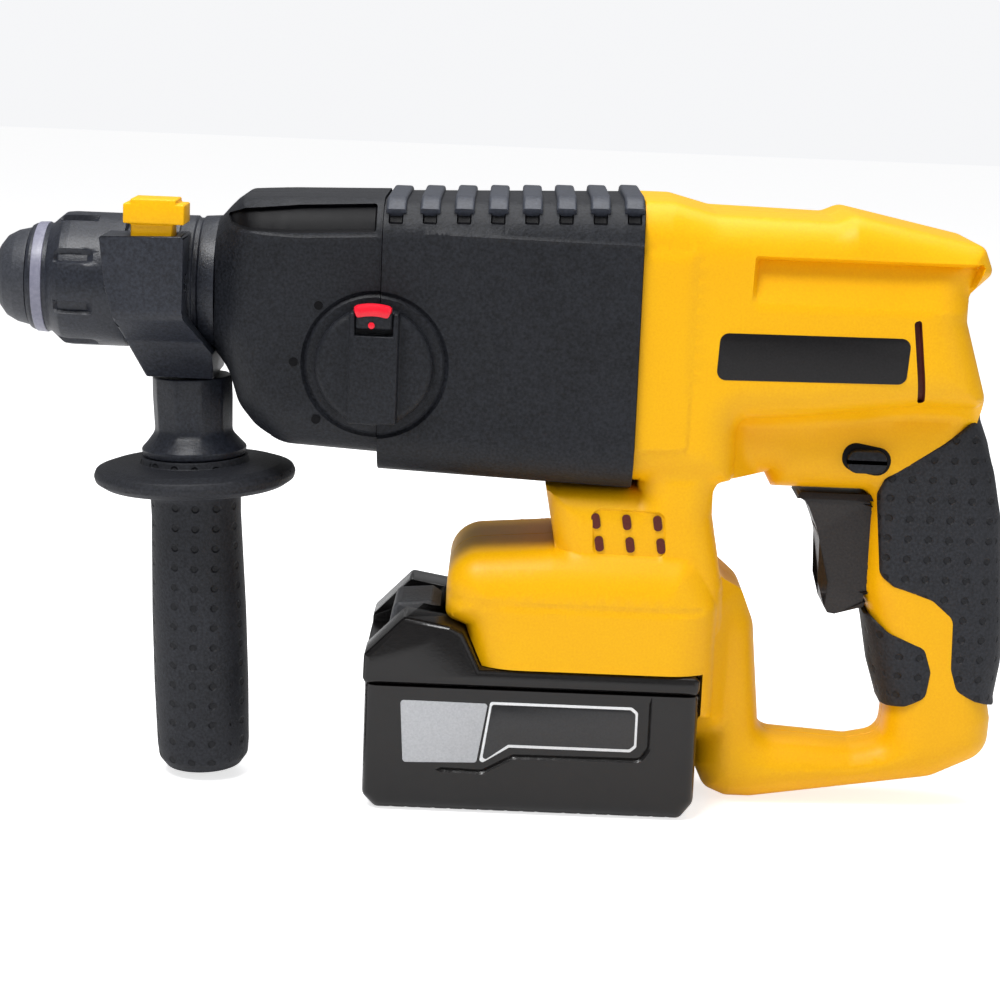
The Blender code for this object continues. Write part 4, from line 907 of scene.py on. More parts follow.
@dataclass
class Housing:
    """The two yellow handle halves, their rubber inlays, vents, badge and screws."""

    body: Sequence[Corner] = (
        (29.8, 116, 0), (29.8, 210.4, 0), (40, 210.4, 8), (54, 206.8, 8), (93.5, 206, 6), (99.5, 208.6, 6),
        (143.6, 199.6, 4), (147, 191, 3.6), (139.4, 183.5, 5), (139.4, 174.5, 6), (148.6, 145, 4),
        (125, 145.2, 8), (88, 140.2, 8), (64.5, 138.4, 4), (64.5, 116, 4),
    )
    column: Sequence[Corner] = (
        (0.8, 112.7, 0), (32.3, 112.7, 0), (32.3, 126, 0), (64, 126, 4), (59, 112, 6), (58, 104, 6),
        (63, 80, 6), (63, 62, 4), (6, 62, 4), (6, 86, 4),
    )
    foot: Sequence[Corner] = (
        (-18.4, 51.2, 0), (-24.6, 63.9, 0), (-31.6, 66.5, 3.6), (-31.4, 88.6, 13), (4, 91.5, 8),
        (52, 91, 8), (61, 74, 8), (61, 51.2, 0),
    )
    handle: Sequence[Corner] = (
        (50, 148, 0), (50, 51.2, 0), (57, 51.2, 0), (57, 13, 4), (61.5, 3.5, 5), (69, 0.4, 6), (78, 0.4, 10),
        (141.5, 10.4, 14), (160.8, 20, 12), (161.2, 33, 4), (159.5, 41, 5), (161.2, 54, 30), (160.8, 68, 30),
        (157.4, 104, 30), (154, 120, 20), (147.4, 138, 8), (147.4, 148, 0),
    )
    opening: Sequence[Corner] = (
        (57.3, 117.5, 5), (57.8, 106, 8), (62, 83, 6), (70.5, 77, 7), (75.8, 64, 14), (79, 34, 12),
        (80, 23.5, 6), (112, 21.5, 6), (123.6, 24, 6), (124.2, 36.5, 0), (116.4, 67.5, 5), (113.3, 78, 12),
        (113.2, 112.8, 3.5), (79, 112.8, 0), (76.5, 117.5, 0),
    )
    rear_rubber: Sequence[Corner] = (
        (149, 141.2, 0), (153.3, 130.7, 8), (159.3, 106, 20), (162.7, 76, 30), (163.4, 54, 30),
        (161.9, 38, 1), (153.6, 40.7, 3), (146.5, 44.5, 4), (144, 52.2, 8), (143.4, 70, 4), (136, 76.3, 5),
        (122.5, 80.8, 3), (117.6, 84.5, 4), (115, 113, 4), (116.7, 118.6, 4), (128.1, 126.4, 8),
        (137.8, 133.1, 8),
    )
    front_rubber: Sequence[Corner] = (
        (113.9, 69.1, 0), (117.4, 50.3, 20), (122, 36.7, 0), (129.4, 37.9, 4), (136.4, 41.6, 4),
        (137.6, 51, 4), (134.8, 59.5, 4), (122.3, 63.8, 6), (116.4, 68.6, 1),
    )
    badge: Sequence[Corner] = ((55.7, 152.8, 3), (118.8, 153.7, 3), (119.7, 169.1, 3), (56.4, 168.6, 3))
    screws: Sequence[tuple[float, float, float]] = (
        (37.5, 200.5, 33), (130, 190.5, 33), (90, 122.5, 17), (140.2, 27.4, 17), (52.8, 74, 36.8),
        (-23.8, 77, 36.8),
    )
    body_half: float = 33.0
    handle_half: float = 17.0
    rubber_skin: float = 2.2
    vent_pitch: float = 10.45
    details: list[Detail] = field(default_factory=list)

    def shape(self) -> list[Block]:
        """Returns the blocks whose highest face is the housing's surface."""
        body = [(min(x, 8.0) if x < 30 else x, z, r) for x, z, r in self.body]
        foot = [(x, 34.0 if z < 52 else z, r) for x, z, r in self.foot]
        return [
            Block(body, self.body_half, 13, 11),
            Block(self.column, 30, 11, 10),
            Block(foot, 36.8, 17, 12),
            Block(self.handle, self.handle_half, 13, 12, self.opening),
        ]

    def mark(self) -> None:
        """Lists the creases, channels and recesses of the two faces."""
        both = (Side.LEFT, Side.RIGHT)
        self.details = [
            Detail(
                ((26, 195, 0), (48, 195.4, 1), (48, 127.5, 3), (26, 126.5, 0)), -0.8, 1.4, False, True, both
            ),
            Detail(
                ((143.5, 194.3, 0), (66.5, 194.5, 1), (66, 178, 1), (138, 177.4, 0)),
                6.0, 1.6, False, True, both, (177.5, 193.0),
            ),
            # A slanted slot whose floor is painted dark as its shade.
            Detail(
                ((120.1, 174.6, 1.1), (122.5, 175.6, 1.1), (126.2, 147.4, 1.1), (123.8, 146.6, 1.1)),
                2.4, 0.5, False, True, both, None, True,
            ),
            Detail([(x, z, r + 0.6) for x, z, r in self.badge], 0.5, 0.5, False, True, (Side.LEFT,)),
            Detail(
                ((17.5, 90.6, 3), (42.5, 90.3, 3), (41.6, 106.5, 3), (16.8, 107, 3)), 0.7, 0.7,
                False, True, both,
            ),
            Detail(((-30.5, 74, 0), (0, 73.2, 20), (55, 73, 0)), 0.5, 1.6, True, False, both),
        ]
        for x, z, _ in self.screws:
            self.details.append(Detail(circle(x, z, 3.9, 28), 2.6, 0.4, False, True, (Side.RIGHT,)))

    def build(self) -> None:
        """Builds and dresses the halves and what is set into them."""
        self.mark()
        shell = Moulding(
            "housing", (self.body, self.column, self.foot, self.handle), self.shape(), (self.opening,),
            self.details,
        )
        for side in Side:
            node = f"housing_{side.name.lower()}"
            dress(shell.half(side), YELLOW, "tool_body", [node], VENT_SHADE)
        grown = Block(
            self.handle, self.handle_half + 0.5, 13, 12, self.opening, self.rubber_skin
        )
        for end, outline in (("rear", self.rear_rubber), ("front", self.front_rubber)):
            name = f"{end}_grip_overmould"
            rubber = Moulding(name, (outline,), (grown,), lip=0.9, seam=0.0)
            dress(rubber.whole(), RUBBER, "tool_body", [name])
        dress(self.vents(), VENT_SHADE, "tool_body")
        screws = [f"housing_screw_{k + 1}" for k in range(len(self.screws))]
        dress(self.screw_heads(), DARK_STEEL, "tool_body", screws)
        badge = plate("badge_plate", self.badge, -33.2, -32.5)
        dress(badge, BADGE, "tool_body", ["badge_plate"])

    def vents(self) -> bpy.types.Object:
        """Makes the dark slabs painted as the shade inside the slanted slots of the column's two windows.

        Returns:
            One object with all of them.
        """
        made = Pattern("column_vents")
        graph = made.graph
        width = made.size("Width", 2.9 * MM)
        length = made.size("Length", 5.3 * MM)
        pitch = made.size("Pitch", self.vent_pitch * MM)
        level = made.size("Level", 29.4 * MM)
        outline = graph.add("GeometryNodeCurvePrimitiveQuadrilateral", {}, {"Width": width, "Height": length})
        soft = graph.node("GeometryNodeFilletCurve", {}, {"Curve": outline, "Radius": width * 0.45})
        soft.inputs["Limit Radius"].default_value = True
        if "mode" in soft.bl_rna.properties:
            soft.mode = "POLY"
            soft.inputs["Count"].default_value = 5
        face = graph.add("GeometryNodeFillCurve", {}, {"Curve": Wire(graph, soft.outputs[0])})
        solid = graph.add("GeometryNodeExtrudeMesh", {}, {"Mesh": face, "Offset Scale": 0.5 * MM})
        upright = graph.add(
            "GeometryNodeTransform", {},
            {"Geometry": solid, "Rotation": (math.radians(90), math.radians(-9), 0.0)},
        )
        upper = graph.add(
            "GeometryNodeMeshLine", {},
            {"Count": 3, "Start Location": (18.2 * MM, 0, 102.6 * MM), "Offset": vector(graph, pitch)},
        )
        lower = graph.add(
            "GeometryNodeMeshLine", {},
            {"Count": 3, "Start Location": (19.7 * MM, 0, 94.8 * MM), "Offset": vector(graph, pitch)},
        )
        rows = graph.join((upper, lower))
        slots = graph.add("GeometryNodeInstanceOnPoints", {}, {"Points": rows, "Instance": upright})
        moved = [
            graph.add(
                "GeometryNodeTransform", {},
                {"Geometry": slots, "Translation": vector(graph, 0.0, level * side.value)},
            )
            for side in Side
        ]
        return made.make(graph.join(moved), VENT_SHADE)

    def screw_heads(self) -> bpy.types.Object:
        """Makes the six screw heads in the right half.

        Returns:
            One object with all of them.
        """
        made = Pattern("housing_screws")
        graph = made.graph
        radius = made.size("Radius", 3.4 * MM)
        depth = made.size("Depth", 2.0 * MM)
        head = graph.node(
            "GeometryNodeMeshCylinder", {}, {"Vertices": 36, "Radius": radius, "Depth": depth}
        )
        drive = graph.add(
            "GeometryNodeMeshCylinder", {}, {"Vertices": 6, "Radius": radius * 0.5, "Depth": depth}
        )
        raised = graph.add(
            "GeometryNodeExtrudeMesh", {},
            {
                "Mesh": Wire(graph, head.outputs["Mesh"]), "Selection": Wire(graph, head.outputs["Top"]),
                "Offset Scale": 0.3 * MM,
            },
        )
        sunk = graph.add(
            "GeometryNodeMeshBoolean", {"operation": "DIFFERENCE"},
            {"Mesh 1": raised, "Mesh 2": graph.add(
                "GeometryNodeTransform", {}, {"Geometry": drive, "Translation": (0, 0, 1.3 * MM)}
            )},
        )
        laid = graph.add(
            "GeometryNodeTransform", {}, {"Geometry": sunk, "Rotation": (math.radians(-90), 0.0, 0.0)}
        )
        spots = graph.join([
            graph.add(
                "GeometryNodeMeshLine", {},
                {"Count": 1, "Start Location": (x * MM, (half - SCREW_SUNK) * MM, z * MM)},
            )
            for x, z, half in self.screws
        ])
        heads = graph.add("GeometryNodeInstanceOnPoints", {}, {"Points": spots, "Instance": laid})
        return made.make(heads, DARK_STEEL)


@dataclass
class GearCover:
    """The black gear cover in front of the ribbed shroud, and the shroud."""

    stations: Sequence[tuple[float, float, float, float]] = (
        (-112.9, 151.4, 197.6, 22), (-108.6, 146.6, 202.4, 26), (-104.6, 136, 206.3, 31),
        (-98.5, 129.2, 206.6, 33), (-89.5, 123.6, 207, 34.5), (-56.6, 121.8, 208, 34.5),
    )
    shroud_low: tuple[float, float] = (116.6, 113.2)
    shroud_high: tuple[float, float] = (207.2, 210.2)
    shroud_half: float = 36.0
    groove_radius: float = 23.6

    def width(self, x: np.ndarray) -> np.ndarray:
        """Returns the cover's half width at each place along the tool."""
        return np.interp(x, [s[0] for s in self.stations], [s[3] for s in self.stations])

    def dial_groove(self) -> Detail:
        """Returns the groove round the mode dial."""
        return Detail(circle(DIAL_X, DIAL_Z, self.groove_radius, 48), 1.0, 1.1, True, True, (Side.LEFT,))

    def cover(self) -> Moulding:
        """Returns the gear cover as a moulding."""
        top = [(x, high, 4.0) for x, _, high, _ in self.stations]
        low = [(x, bottom, 16.0) for x, bottom, _, _ in self.stations][::-1]
        top[0], top[-1] = (*top[0][:2], 0.0), (*top[-1][:2], 0.0)
        low[0], low[-1] = (*low[0][:2], 0.0), (*low[-1][:2], 0.0)
        longer = [
            (-140, top[0][1], 0), *top, (-30, top[-1][1], 0),
            (-30, low[0][1], 0), *low, (-140, low[-1][1], 0),
        ]
        lens = (
            (-107.4, 197.2, 1), (-109.6, 200.2, 1), (-102.6, 203.0, 2), (-84.4, 204.9, 2), (-58.6, 206.2, 1),
            (-58.6, 197.4, 1), (-84.2, 196.1, 2), (-100.8, 196, 2),
        )
        details = (
            # The lens recess's floor is painted near-black as its shade.
            Detail(lens, 2.6, 0.7, dark=True),
            Detail(((-107.6, 195.4, 0), (-84, 194.6, 10), (-58.4, 195.8, 0)), -0.35, 0.8, True, False),
            self.dial_groove(),
        )
        block = Block(longer, self.width, 15, 15)
        return Moulding("gear_cover", ([*top, *low],), (block,), (), details, seam=0.4)

    def shroud(self) -> Moulding:
        """Returns the ribbed shroud as a moulding."""
        region = (
            (SHROUD_FRONT_X, self.shroud_low[0], 0), (SHROUD_REAR_X, self.shroud_low[1], 0),
            (SHROUD_REAR_X, self.shroud_high[1], 0), (SHROUD_FRONT_X, self.shroud_high[0], 0),
        )
        slope = (self.shroud_high[1] - self.shroud_high[0]) / (SHROUD_REAR_X - SHROUD_FRONT_X)
        longer = (
            (-90, self.shroud_low[0] + 1.3, 0), (60, self.shroud_low[1] - 1.2, 0),
            (60, self.shroud_high[1] + 30.5 * slope, 0), (-90, self.shroud_high[0] - 33.7 * slope, 0),
        )
        details = [
            Detail(((-41, 197.5, 0), (29.5, 196.5, 0)), -0.5, 1.0, True, False),
            Detail(((-30.3, 195.8, 0), (-12.5, 143.8, 0)), -0.3, 0.8, True, False),
            Detail(((3.2, 194.2, 0), (6, 182.8, 0)), -0.25, 0.8, True, False),
            self.dial_groove(),
        ]
        for k in range(RIB_COUNT):
            x = SHROUD_FRONT_X + RIB_LEAD + RIB_PITCH * k
            z = PIT_LEVEL + slope * RIB_PITCH * k
            pit = [(x + u, z + v, 0.6) for u, v in ((-2.4, -2.3), (2.4, -2.3), (2.4, 1.9), (-2.4, 1.9))]
            # Each pit's floor is painted near-black as its shade.
            details.append(Detail(pit, 1.6, 0.5, dark=True))
        return Moulding(
            "ribbed_shroud", (region,), (Block(longer, self.shroud_half, 14, 14),), (), details, seam=0.3
        )

    def ribs(self) -> bpy.types.Object:
        """Makes the cooling ribs across the shroud's top.

        Returns:
            One object with all of them.
        """
        made = Pattern("shroud_ribs")
        graph = made.graph
        count = made.size("Count", RIB_COUNT, "NodeSocketInt")
        pitch = made.size("Pitch", RIB_PITCH * MM)
        rise = made.size("Rise", 0.46 * MM)
        width = made.size("Width", RIB_WIDTH * MM)
        depth = made.size("Depth", 5.2 * MM)
        span = made.size("Half Span", 31.0 * MM)
        flat = made.size("Flat", 22.0 * MM)
        bend = made.size("Bend", 14.0 * MM)
        line = graph.add(
            "GeometryNodeCurvePrimitiveLine", {},
            {"Start": vector(graph, 0.0, span * -1.0), "End": vector(graph, 0.0, span)},
        )
        fine = graph.add("GeometryNodeResampleCurve", {}, {"Curve": line, "Count": 61})
        place = graph.node("ShaderNodeSeparateXYZ", {}, {"Vector": graph.add("GeometryNodeInputPosition")})
        past = (Wire(graph, place.outputs["Y"]).math("ABSOLUTE") - flat).math("MAXIMUM", 0.0)
        fall = (bend * bend - past * past).math("SQRT") - bend
        bent = graph.add(
            "GeometryNodeSetPosition", {},
            {"Geometry": fine, "Offset": vector(graph, 0.0, 0.0, fall)},
        )
        section = graph.add("GeometryNodeCurvePrimitiveQuadrilateral", {}, {"Width": width, "Height": depth})
        soft = graph.node("GeometryNodeFilletCurve", {}, {"Curve": section, "Radius": 1.0 * MM})
        if "mode" in soft.bl_rna.properties:
            soft.mode = "POLY"
            soft.inputs["Count"].default_value = 4
        bar = graph.add(
            "GeometryNodeCurveToMesh", {},
            {"Curve": bent, "Profile Curve": Wire(graph, soft.outputs[0]), "Fill Caps": True},
        )
        row = graph.add(
            "GeometryNodeMeshLine", {},
            {
                "Count": count,
                "Start Location": ((SHROUD_FRONT_X + RIB_LEAD) * MM, 0.0, (self.shroud_high[0] - 0.85) * MM),
                "Offset": vector(graph, pitch, 0.0, rise),
            },
        )
        placed = graph.add("GeometryNodeInstanceOnPoints", {}, {"Points": row, "Instance": bar})
        return made.make(placed, RIB_HIGHLIGHT_GREY)

    def build(self) -> None:
        """Builds and dresses the cover, the shroud and the ribs."""
        # The second material paints shade on the floors of the lens recess and the pits.
        dress(self.cover().whole(), BLACK, "tool_body", ["gear_cover"], MARK_AND_SHADE)
        dress(self.shroud().whole(), BLACK, "tool_body", ["ribbed_shroud"], MARK_AND_SHADE)
        # The ribs' lighter grey is painted highlight.
        dress(self.ribs(), RIB_HIGHLIGHT_GREY, "tool_body")
        lamp = turned_stud("cover_stud", (-60.6, -24.6, 203.2), 1.1)
        dress(lamp, GROUND_STEEL, "tool_body")


def turned_stud(name: str, place: tuple[float, float, float], radius: float) -> bpy.types.Object:
    """Makes a small domed stud that faces the left and up.

    Args:
        name: The object's name.
        place: Where it stands.
        radius: Its radius.

    Returns:
        The object.
    """
    mesh = bmesh.new()
    bmesh.ops.create_uvsphere(mesh, u_segments=24, v_segments=12, radius=radius)
    bmesh.ops.scale(mesh, vec=(1, 1, 0.55), verts=mesh.verts)
    bmesh.ops.transform(
        mesh, matrix=Matrix.Translation(place) @ Matrix.Rotation(math.radians(50), 4, "X"), verts=mesh.verts
    )
    return finish_mesh(name, mesh, 40)


@dataclass
class Chuck:
    """The nose: dust cap, sliding sleeve and fixed collar."""

    flute_count: int = 8
    flute_depth: float = 0.075

    def flute(self, along: float, angle: float) -> float:
        """Returns the sleeve's radius factor, which dips in each flute."""
        if not -166.5 < along < -156.0:
            return 1.0
        phase = math.cos(self.flute_count * (angle - 0.35))
        return 1.0 - self.flute_depth * max(0.0, min(1.0, (phase - 0.72) * 9))

    def build(self) -> None:
        """Builds and dresses the turned pieces."""
        cap = turned(
            "dust_cap",
            (
                (-185.2, 5.4, 0), (-188.6, 5.4, 0.6), (-189, 9.4, 0.8), (-188.2, 10.9, 0.8),
                (-186, 13.8, 1.2), (-182.5, 15.7, 1.5), (-177.9, 16.8, 0.3), (-177.9, 9.9, 0),
                (-185.2, 9.9, 0), (-185.2, 5.4, 0),
            ),
            Axis.BARREL,
        )
        dress(cap, RUBBER_PLAIN, "spindle", ["dust_cap"])
        sleeve = turned(
            "locking_sleeve",
            (
                (-177.5, 14.5, 0), (-177.6, 17.6, 0.4), (-176.5, 18.2, 0.5), (-170.5, 18.6, 0.4),
                (-168.5, 20.4, 0.8), (-166, 22.5, 1.5), (-163, 22.8, 2), (-144.2, 22.8, 0.6),
                (-144.2, 20.9, 0),
                (-165, 20.3, 0), (-169, 15.2, 0), (-177.5, 14.5, 0),
            ),
            Axis.BARREL, 180, self.flute,
        )
        dress(sleeve, CHUCK_GREY, "chuck_sleeve", ["locking_sleeve"])
        band = turned(
            "sleeve_band",
            (
                (-175.6, 17.6, 0), (-175.6, 18.75, 0.3), (-171.9, 18.95, 0.3), (-171.9, 17.8, 0),
                (-175.6, 17.6, 0),
            ),
            Axis.BARREL,
        )
        dress(band, CHUCK_BAND, "chuck_sleeve")
        collar = turned(
            "nose_collar",
            (
                (-148.6, 18.4, 0), (-147.4, 20.0, 0.2), (-136.9, 20.0, 0.3), (-136.6, 22.8, 0.5),
                (-121.2, 23.0, 0.3),
                (-120.6, 22.3, 0.2), (-119.2, 22.3, 0.2), (-118.6, 23.0, 0.3), (-113.2, 23.4, 0.2),
                (-113.2, 19.0, 0), (-142, 17.6, 0), (-148.6, 18.4, 0),
            ),
            Axis.BARREL,
        )
        dress(collar, CHUCK_GREY, "tool_body", ["nose_collar"])


@dataclass
class SideHandle:
    """The swivelling side handle: clamp, depth button, neck and grip."""

    facets: int = 10

    def facet(self, along: float, angle: float) -> float:
        """Returns the neck's radius factor, which makes its waist many-sided."""
        step = math.tau / self.facets
        bent = math.cos(step / 2) / math.cos((angle % step) - step / 2)
        blend = max(0.0, min(1.0, 1 - abs(along + 11.0) / 12.5)) ** 0.5
        return 1.0 + (bent - 1.0) * blend

    def build(self) -> None:
        """Builds and dresses the handle."""
        clamp = softened("clamp_saddle", 0.8, 3)
        dress(clamp, CHUCK_GREY, "side_handle", ["clamp_saddle"])
        neck = turned(
            "handle_neck",
            (
                (-28.6, 4.4, 0), (-28.6, 17.8, 0.6), (-26.2, 18.2, 1), (-24, 16.2, 2), (-20.5, 13.5, 4),
                (-8, 13.9, 4), (-0.9, 13.8, 0.6), (-0.9, 4.4, 0), (-28.6, 4.4, 0),
            ),
            Axis.HANDLE, 120, self.facet,
        )
        dress(neck, CHUCK_GREY, "side_handle", ["handle_neck"])
        grip = turned(
            "side_grip",
            (
                (-142.2, 4.0, 0), (-142.2, 8.5, 3), (-140.8, 13, 2.4), (-137.2, 15.7, 3), (-132.2, 16.2, 6),
                (-110, 16.6, 30), (-85, 16.5, 30), (-50, 15.6, 12), (-41.5, 15.8, 3), (-39.2, 31.5, 3),
                (-37.2, 34.5, 1.4), (-35.2, 35, 1.4), (-33.2, 34.2, 1.2), (-31.8, 30, 3), (-31.3, 19, 0.6),
                (-28.9, 18.6, 0.4), (-28.9, 4.6, 0), (-142.2, 4.0, 0),
            ),
            Axis.HANDLE, 144,
        )
        dress(grip, RUBBER, "side_grip", ["side_grip"])
        button = softened("depth_stop_button", 0.6, 3)
        dress(button, YELLOW, "depth_stop_button", ["depth_stop_button"])
        for node in ("clamp_band", "clamp_bolt"):
            frame["nodes"][node].data.materials[0] = DARK_STEEL.material()


@dataclass
class Controls:
    """The mode dial, the trigger and the forward and reverse button."""

    button: tuple[float, float] = (109.9, 125.2)

    def ticks(self) -> bpy.types.Object:
        """Makes the plain position marks round the dial.

        Returns:
            One object with all of them.
        """
        made = Pattern("dial_marks")
        graph = made.graph
        size = made.size("Radius", 1.5 * MM)
        reach = made.size("Reach", 27.0 * MM)
        dot = graph.add(
            "GeometryNodeMeshCylinder", {}, {"Vertices": 20, "Radius": size, "Depth": 0.5 * MM}
        )
        laid = graph.add("GeometryNodeTransform", {}, {"Geometry": dot, "Rotation": (math.pi / 2, 0.0, 0.0)})
        ring = graph.node("GeometryNodeCurvePrimitiveCircle", {}, {"Resolution": 8, "Radius": reach})
        spots = graph.add(
            "GeometryNodeCurveToPoints", {"mode": "COUNT"},
            {"Curve": Wire(graph, ring.outputs[0]), "Count": 8},
        )
        upright = graph.add(
            "GeometryNodeTransform", {},
            {
                "Geometry": spots, "Rotation": (math.pi / 2, 0.0, 0.0),
                "Translation": (DIAL_X * MM, -34.45 * MM, DIAL_Z * MM),
            },
        )
        index = graph.add("GeometryNodeInputIndex")
        marks = graph.add(
            "GeometryNodeInstanceOnPoints", {},
            {
                "Points": upright, "Instance": laid,
                "Selection": index.math("GREATER_THAN", 2.5) * index.math("LESS_THAN", 5.5),
            },
        )
        return made.make(marks, MARK_AND_SHADE)

    def build(self) -> None:
        """Builds and dresses the controls."""
        dress(softened("mode_dial", 0.7, 3), BLACK, "mode_dial", ["mode_dial"])
        slide = softened("dial_release", 0.4)
        dress(slide, BLACK, "dial_release", ["dial_release"])
        angles = [math.radians(90 + 4.5 * k) for k in range(-4, 5)]
        arc = [
            (DIAL_X - 0.5 + radius * math.cos(angle), DIAL_Z + radius * math.sin(angle), 0.0)
            for radius, order in ((21.6, angles), (17.3, angles[::-1]))
            for angle in order
        ]
        dress(plate("release_cap", arc, -46.8, -42.2), RED, "dial_release")
        dress(softened("trigger", 2.2, 4), TRIGGER, "trigger", ["trigger"])
        push = softened("direction_button", 0.7, 3)
        dress(push, BLACK, "direction_button", ["direction_button"])
        dress(self.ticks(), MARK_AND_SHADE, "tool_body")
        dot = plate("dial_dot", circle(DIAL_X - 0.8, DIAL_Z + 14.6, 1.1, 20), -46.65, -46.1)
        dress(dot, RED, "dial_release")
        tilt = math.radians(10)
        c, s = math.cos(tilt), math.sin(tilt)
        x, z = self.button
        # Dark oval plates painted as the shade of the recess round the direction button.
        for side in Side:
            oval = [
                (x + u * c + v * s, z - u * s + v * c, 4.6)
                for u, v in ((-8.4, -4.9), (8.4, -4.9), (8.4, 4.9), (-8.4, 4.9))
            ]
            low, high = sorted((side.value * 17.35, side.value * 16.3))
            recess_shade = plate(f"button_bezel_{side.name.lower()}", oval, low, high)
            dress(recess_shade, MARK_AND_SHADE, "tool_body")


@dataclass
class Battery:
    """The slide-on battery: tray, top, latch and label."""

    front: float = -58.0
    rear: float = 56.0
    half: float = 37.0
    top: float = 44.0

    def build(self) -> None:
        """Builds and dresses the battery."""
        region = (
            (self.front, 4.5, 3), (self.front + 4.5, 0.05, 3), (self.rear - 4.5, 0.05, 3), (self.rear, 6, 4),
            (self.rear, self.top, 0), (self.front, self.top, 0),
        )
        longer = (*region[:4], (self.rear, 70, 0), (self.front, 70, 0))
        details = (
            Detail(
                (
                    (-31, 15.2, 0), (-16.9, 14.9, 3), (-6.5, 20.8, 3), (36.9, 21.2, 3), (39.6, 25.4, 3),
                    (39.6, 41, 0),
                ),
                0.7, 0.9, True, False,
            ),
            Detail(((-56.5, 12.2, 0), (54, 12.2, 0)), 0.3, 1.2, True, False, (Side.RIGHT,)),
        )
        tray = Moulding("battery_case", (region,), (Block(longer, self.half, 5, 4.2),), (), details, seam=0.0)
        dress(tray.whole(), PACK, "battery", ["battery_case"])
        top = softened("battery_top", 0.9, 3)
        dress(top, PACK, "battery", ["battery_top"])
        latch = softened("battery_latch", 0.7, 3)
        dress(latch, LATCH, "battery_latch", ["battery_latch"])
        self.label()

    def label(self) -> None:
        """Builds the plain label: a pale frame, a black field and a grey field."""
        face = -self.half
        field_black = (
            (-17.2, 18.4, 1), (-8.3, 25, 1), (33.0, 25, 1.4), (34.6, 26.5, 1), (34.6, 37.6, 1.4),
            (32.8, 39.0, 1), (-14.4, 39.0, 1),
        )
        rim = (
            (-18.2, 17.4, 1), (-8.0, 24.0, 1), (33.3, 24.0, 1.4), (35.4, 25.8, 1), (35.4, 38.2, 1.4),
            (33.2, 39.9, 1), (-15.0, 39.9, 1),
        )
        grey = ((-44.2, 17.4, 1.2), (-19.0, 18.2, 1), (-15.8, 39.2, 1), (-45.6, 39.4, 1.2))
        pieces = (
            ("label_rim", rim, LABEL_WHITE, 0.12), ("battery_label", field_black, LABEL, 0.22),
            ("label_field", grey, LABEL_GREY, 0.16),
        )
        for name, corners, finish, thick in pieces:
            made = plate(name, corners, face - thick, face + 0.3)
            nodes = ["battery_label"] if name == "battery_label" else []
            dress(made, finish, "battery", nodes)


@dataclass
class Mechanism:
    """The pieces that keep their CAD shape, mostly out of sight."""

    def build(self) -> None:
        """Gives every CAD node that still shows a finish of its material slot."""
        slots = {part["node"]: part["material_slot"] for part in frame["record"]["subparts"]}
        for name, node in frame["nodes"].items():
            finish = INSIDE[slots[name]]
            if node.data.materials:
                node.data.materials[0] = finish.material()
            else:
                node.data.materials.append(finish.material())


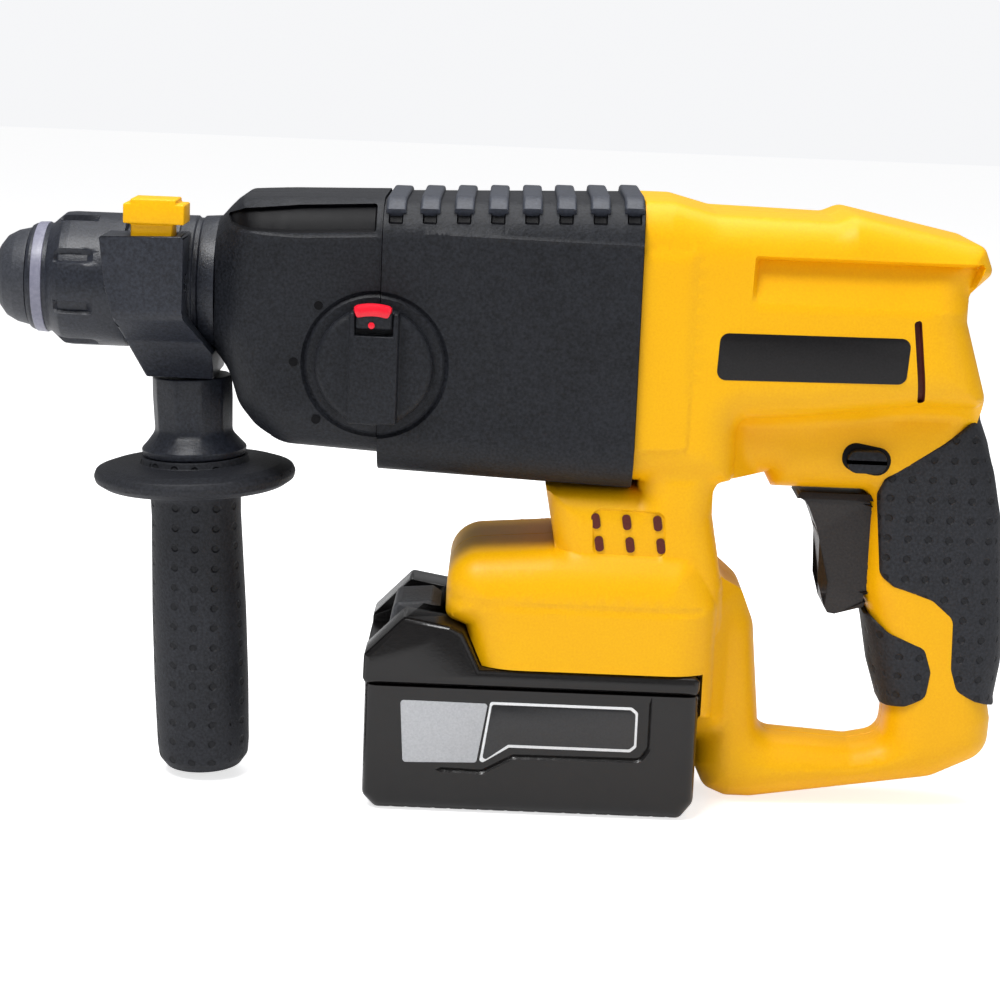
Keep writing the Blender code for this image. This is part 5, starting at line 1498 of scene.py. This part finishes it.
@dataclass
class Studio:
    """Pale floor, soft lights and the camera."""

    eye: tuple[float, float, float] = (-14.45, -832.94, 271.96)
    pitch: float = 11.5
    roll: float = 2.3
    lens: float = 87.48

    def camera(self) -> None:
        """Adds the camera."""
        data = bpy.data.cameras.new("camera")
        data.lens = self.lens
        data.clip_start = 0.01
        made = bpy.data.objects.new("camera", data)
        bpy.context.scene.collection.objects.link(made)
        pitch, roll = math.radians(self.pitch), math.radians(self.roll)
        ahead = Vector((0, math.cos(pitch), -math.sin(pitch)))
        right = Vector((1, 0, 0))
        up = right.cross(ahead)
        x = right * math.cos(roll) + up * math.sin(roll)
        y = up * math.cos(roll) - right * math.sin(roll)
        turn = Matrix((x, y, -ahead)).transposed().to_4x4()
        made.matrix_world = Matrix.Translation(Vector(self.eye) * MM) @ turn
        bpy.context.scene.camera = made

    def lamp(self, name: str, place: tuple[float, float, float], size: float, power: float) -> None:
        """Adds a soft light that faces the tool.

        Args:
            name: Its name.
            place: Where it stands, in metres.
            size: Its side, in metres.
            power: Its power, in watts.
        """
        data = bpy.data.lights.new(name, "AREA")
        data.size = size
        data.energy = power
        made = bpy.data.objects.new(name, data)
        made.location = place
        aim = Vector((0.0, 0.0, 0.11)) - Vector(place)
        made.rotation_euler = aim.to_track_quat("-Z", "Y").to_euler()
        bpy.context.scene.collection.objects.link(made)

    def build(self) -> None:
        """Builds the studio."""
        mesh = bmesh.new()
        bmesh.ops.create_grid(mesh, x_segments=2, y_segments=2, size=4000)
        bmesh.ops.translate(mesh, vec=(0, 0, -0.4), verts=mesh.verts)
        floor = finish_mesh("studio_floor", mesh, 30)
        pale = Finish("studio_floor", (0.84, 0.84, 0.85), (0.88, 0.88, 0.89), 0.7, 0.03, 300, 0.02)
        paint = pale.material()
        shader = next(n for n in paint.node_tree.nodes if n.type == "BSDF_PRINCIPLED")
        ray = paint.node_tree.nodes.new("ShaderNodeLightPath")
        glow = paint.node_tree.nodes.new("ShaderNodeMath")
        glow.operation = "MULTIPLY_ADD"
        glow.inputs[1].default_value, glow.inputs[2].default_value = 0.56, 0.16
        paint.node_tree.links.new(ray.outputs["Is Camera Ray"], glow.inputs[0])
        paint.node_tree.links.new(glow.outputs[0], shader.inputs["Emission Color"])
        shader.inputs["Emission Strength"].default_value = 1.0
        floor.data.materials.append(paint)
        world = bpy.data.worlds.new("studio_light")
        world.use_nodes = True
        graph = Graph(world.node_tree)
        seen = graph.add("ShaderNodeLightPath", out="Is Camera Ray")
        strength = seen * 0.66 + 0.28
        cool = (0.98, 0.985, 1.0, 1.0)
        light = graph.add("ShaderNodeBackground", {}, {"Color": cool, "Strength": strength})
        graph.node("ShaderNodeOutputWorld", {}, {"Surface": light})
        bpy.context.scene.world = world
        self.lamp("key", (-0.35, -0.50, 1.15), 0.45, 12.0)
        self.lamp("fill", (0.85, -0.75, 0.45), 0.8, 1.6)
        self.lamp("top", (0.05, 0.20, 1.1), 0.8, 7.0)
        self.camera()
        bpy.context.scene.view_settings.view_transform = "Standard"


def main() -> None:
    """Builds the tool in order."""
    logging.basicConfig(level=logging.INFO, format="%(name)s %(message)s")
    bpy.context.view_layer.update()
    Studio().build()
    Mechanism().build()
    for assembly in (Housing(), GearCover(), Chuck(), SideHandle(), Controls(), Battery()):
        assembly.build()
        log.info("%s built", type(assembly).__name__)


if __name__ == "__main__":
    main()
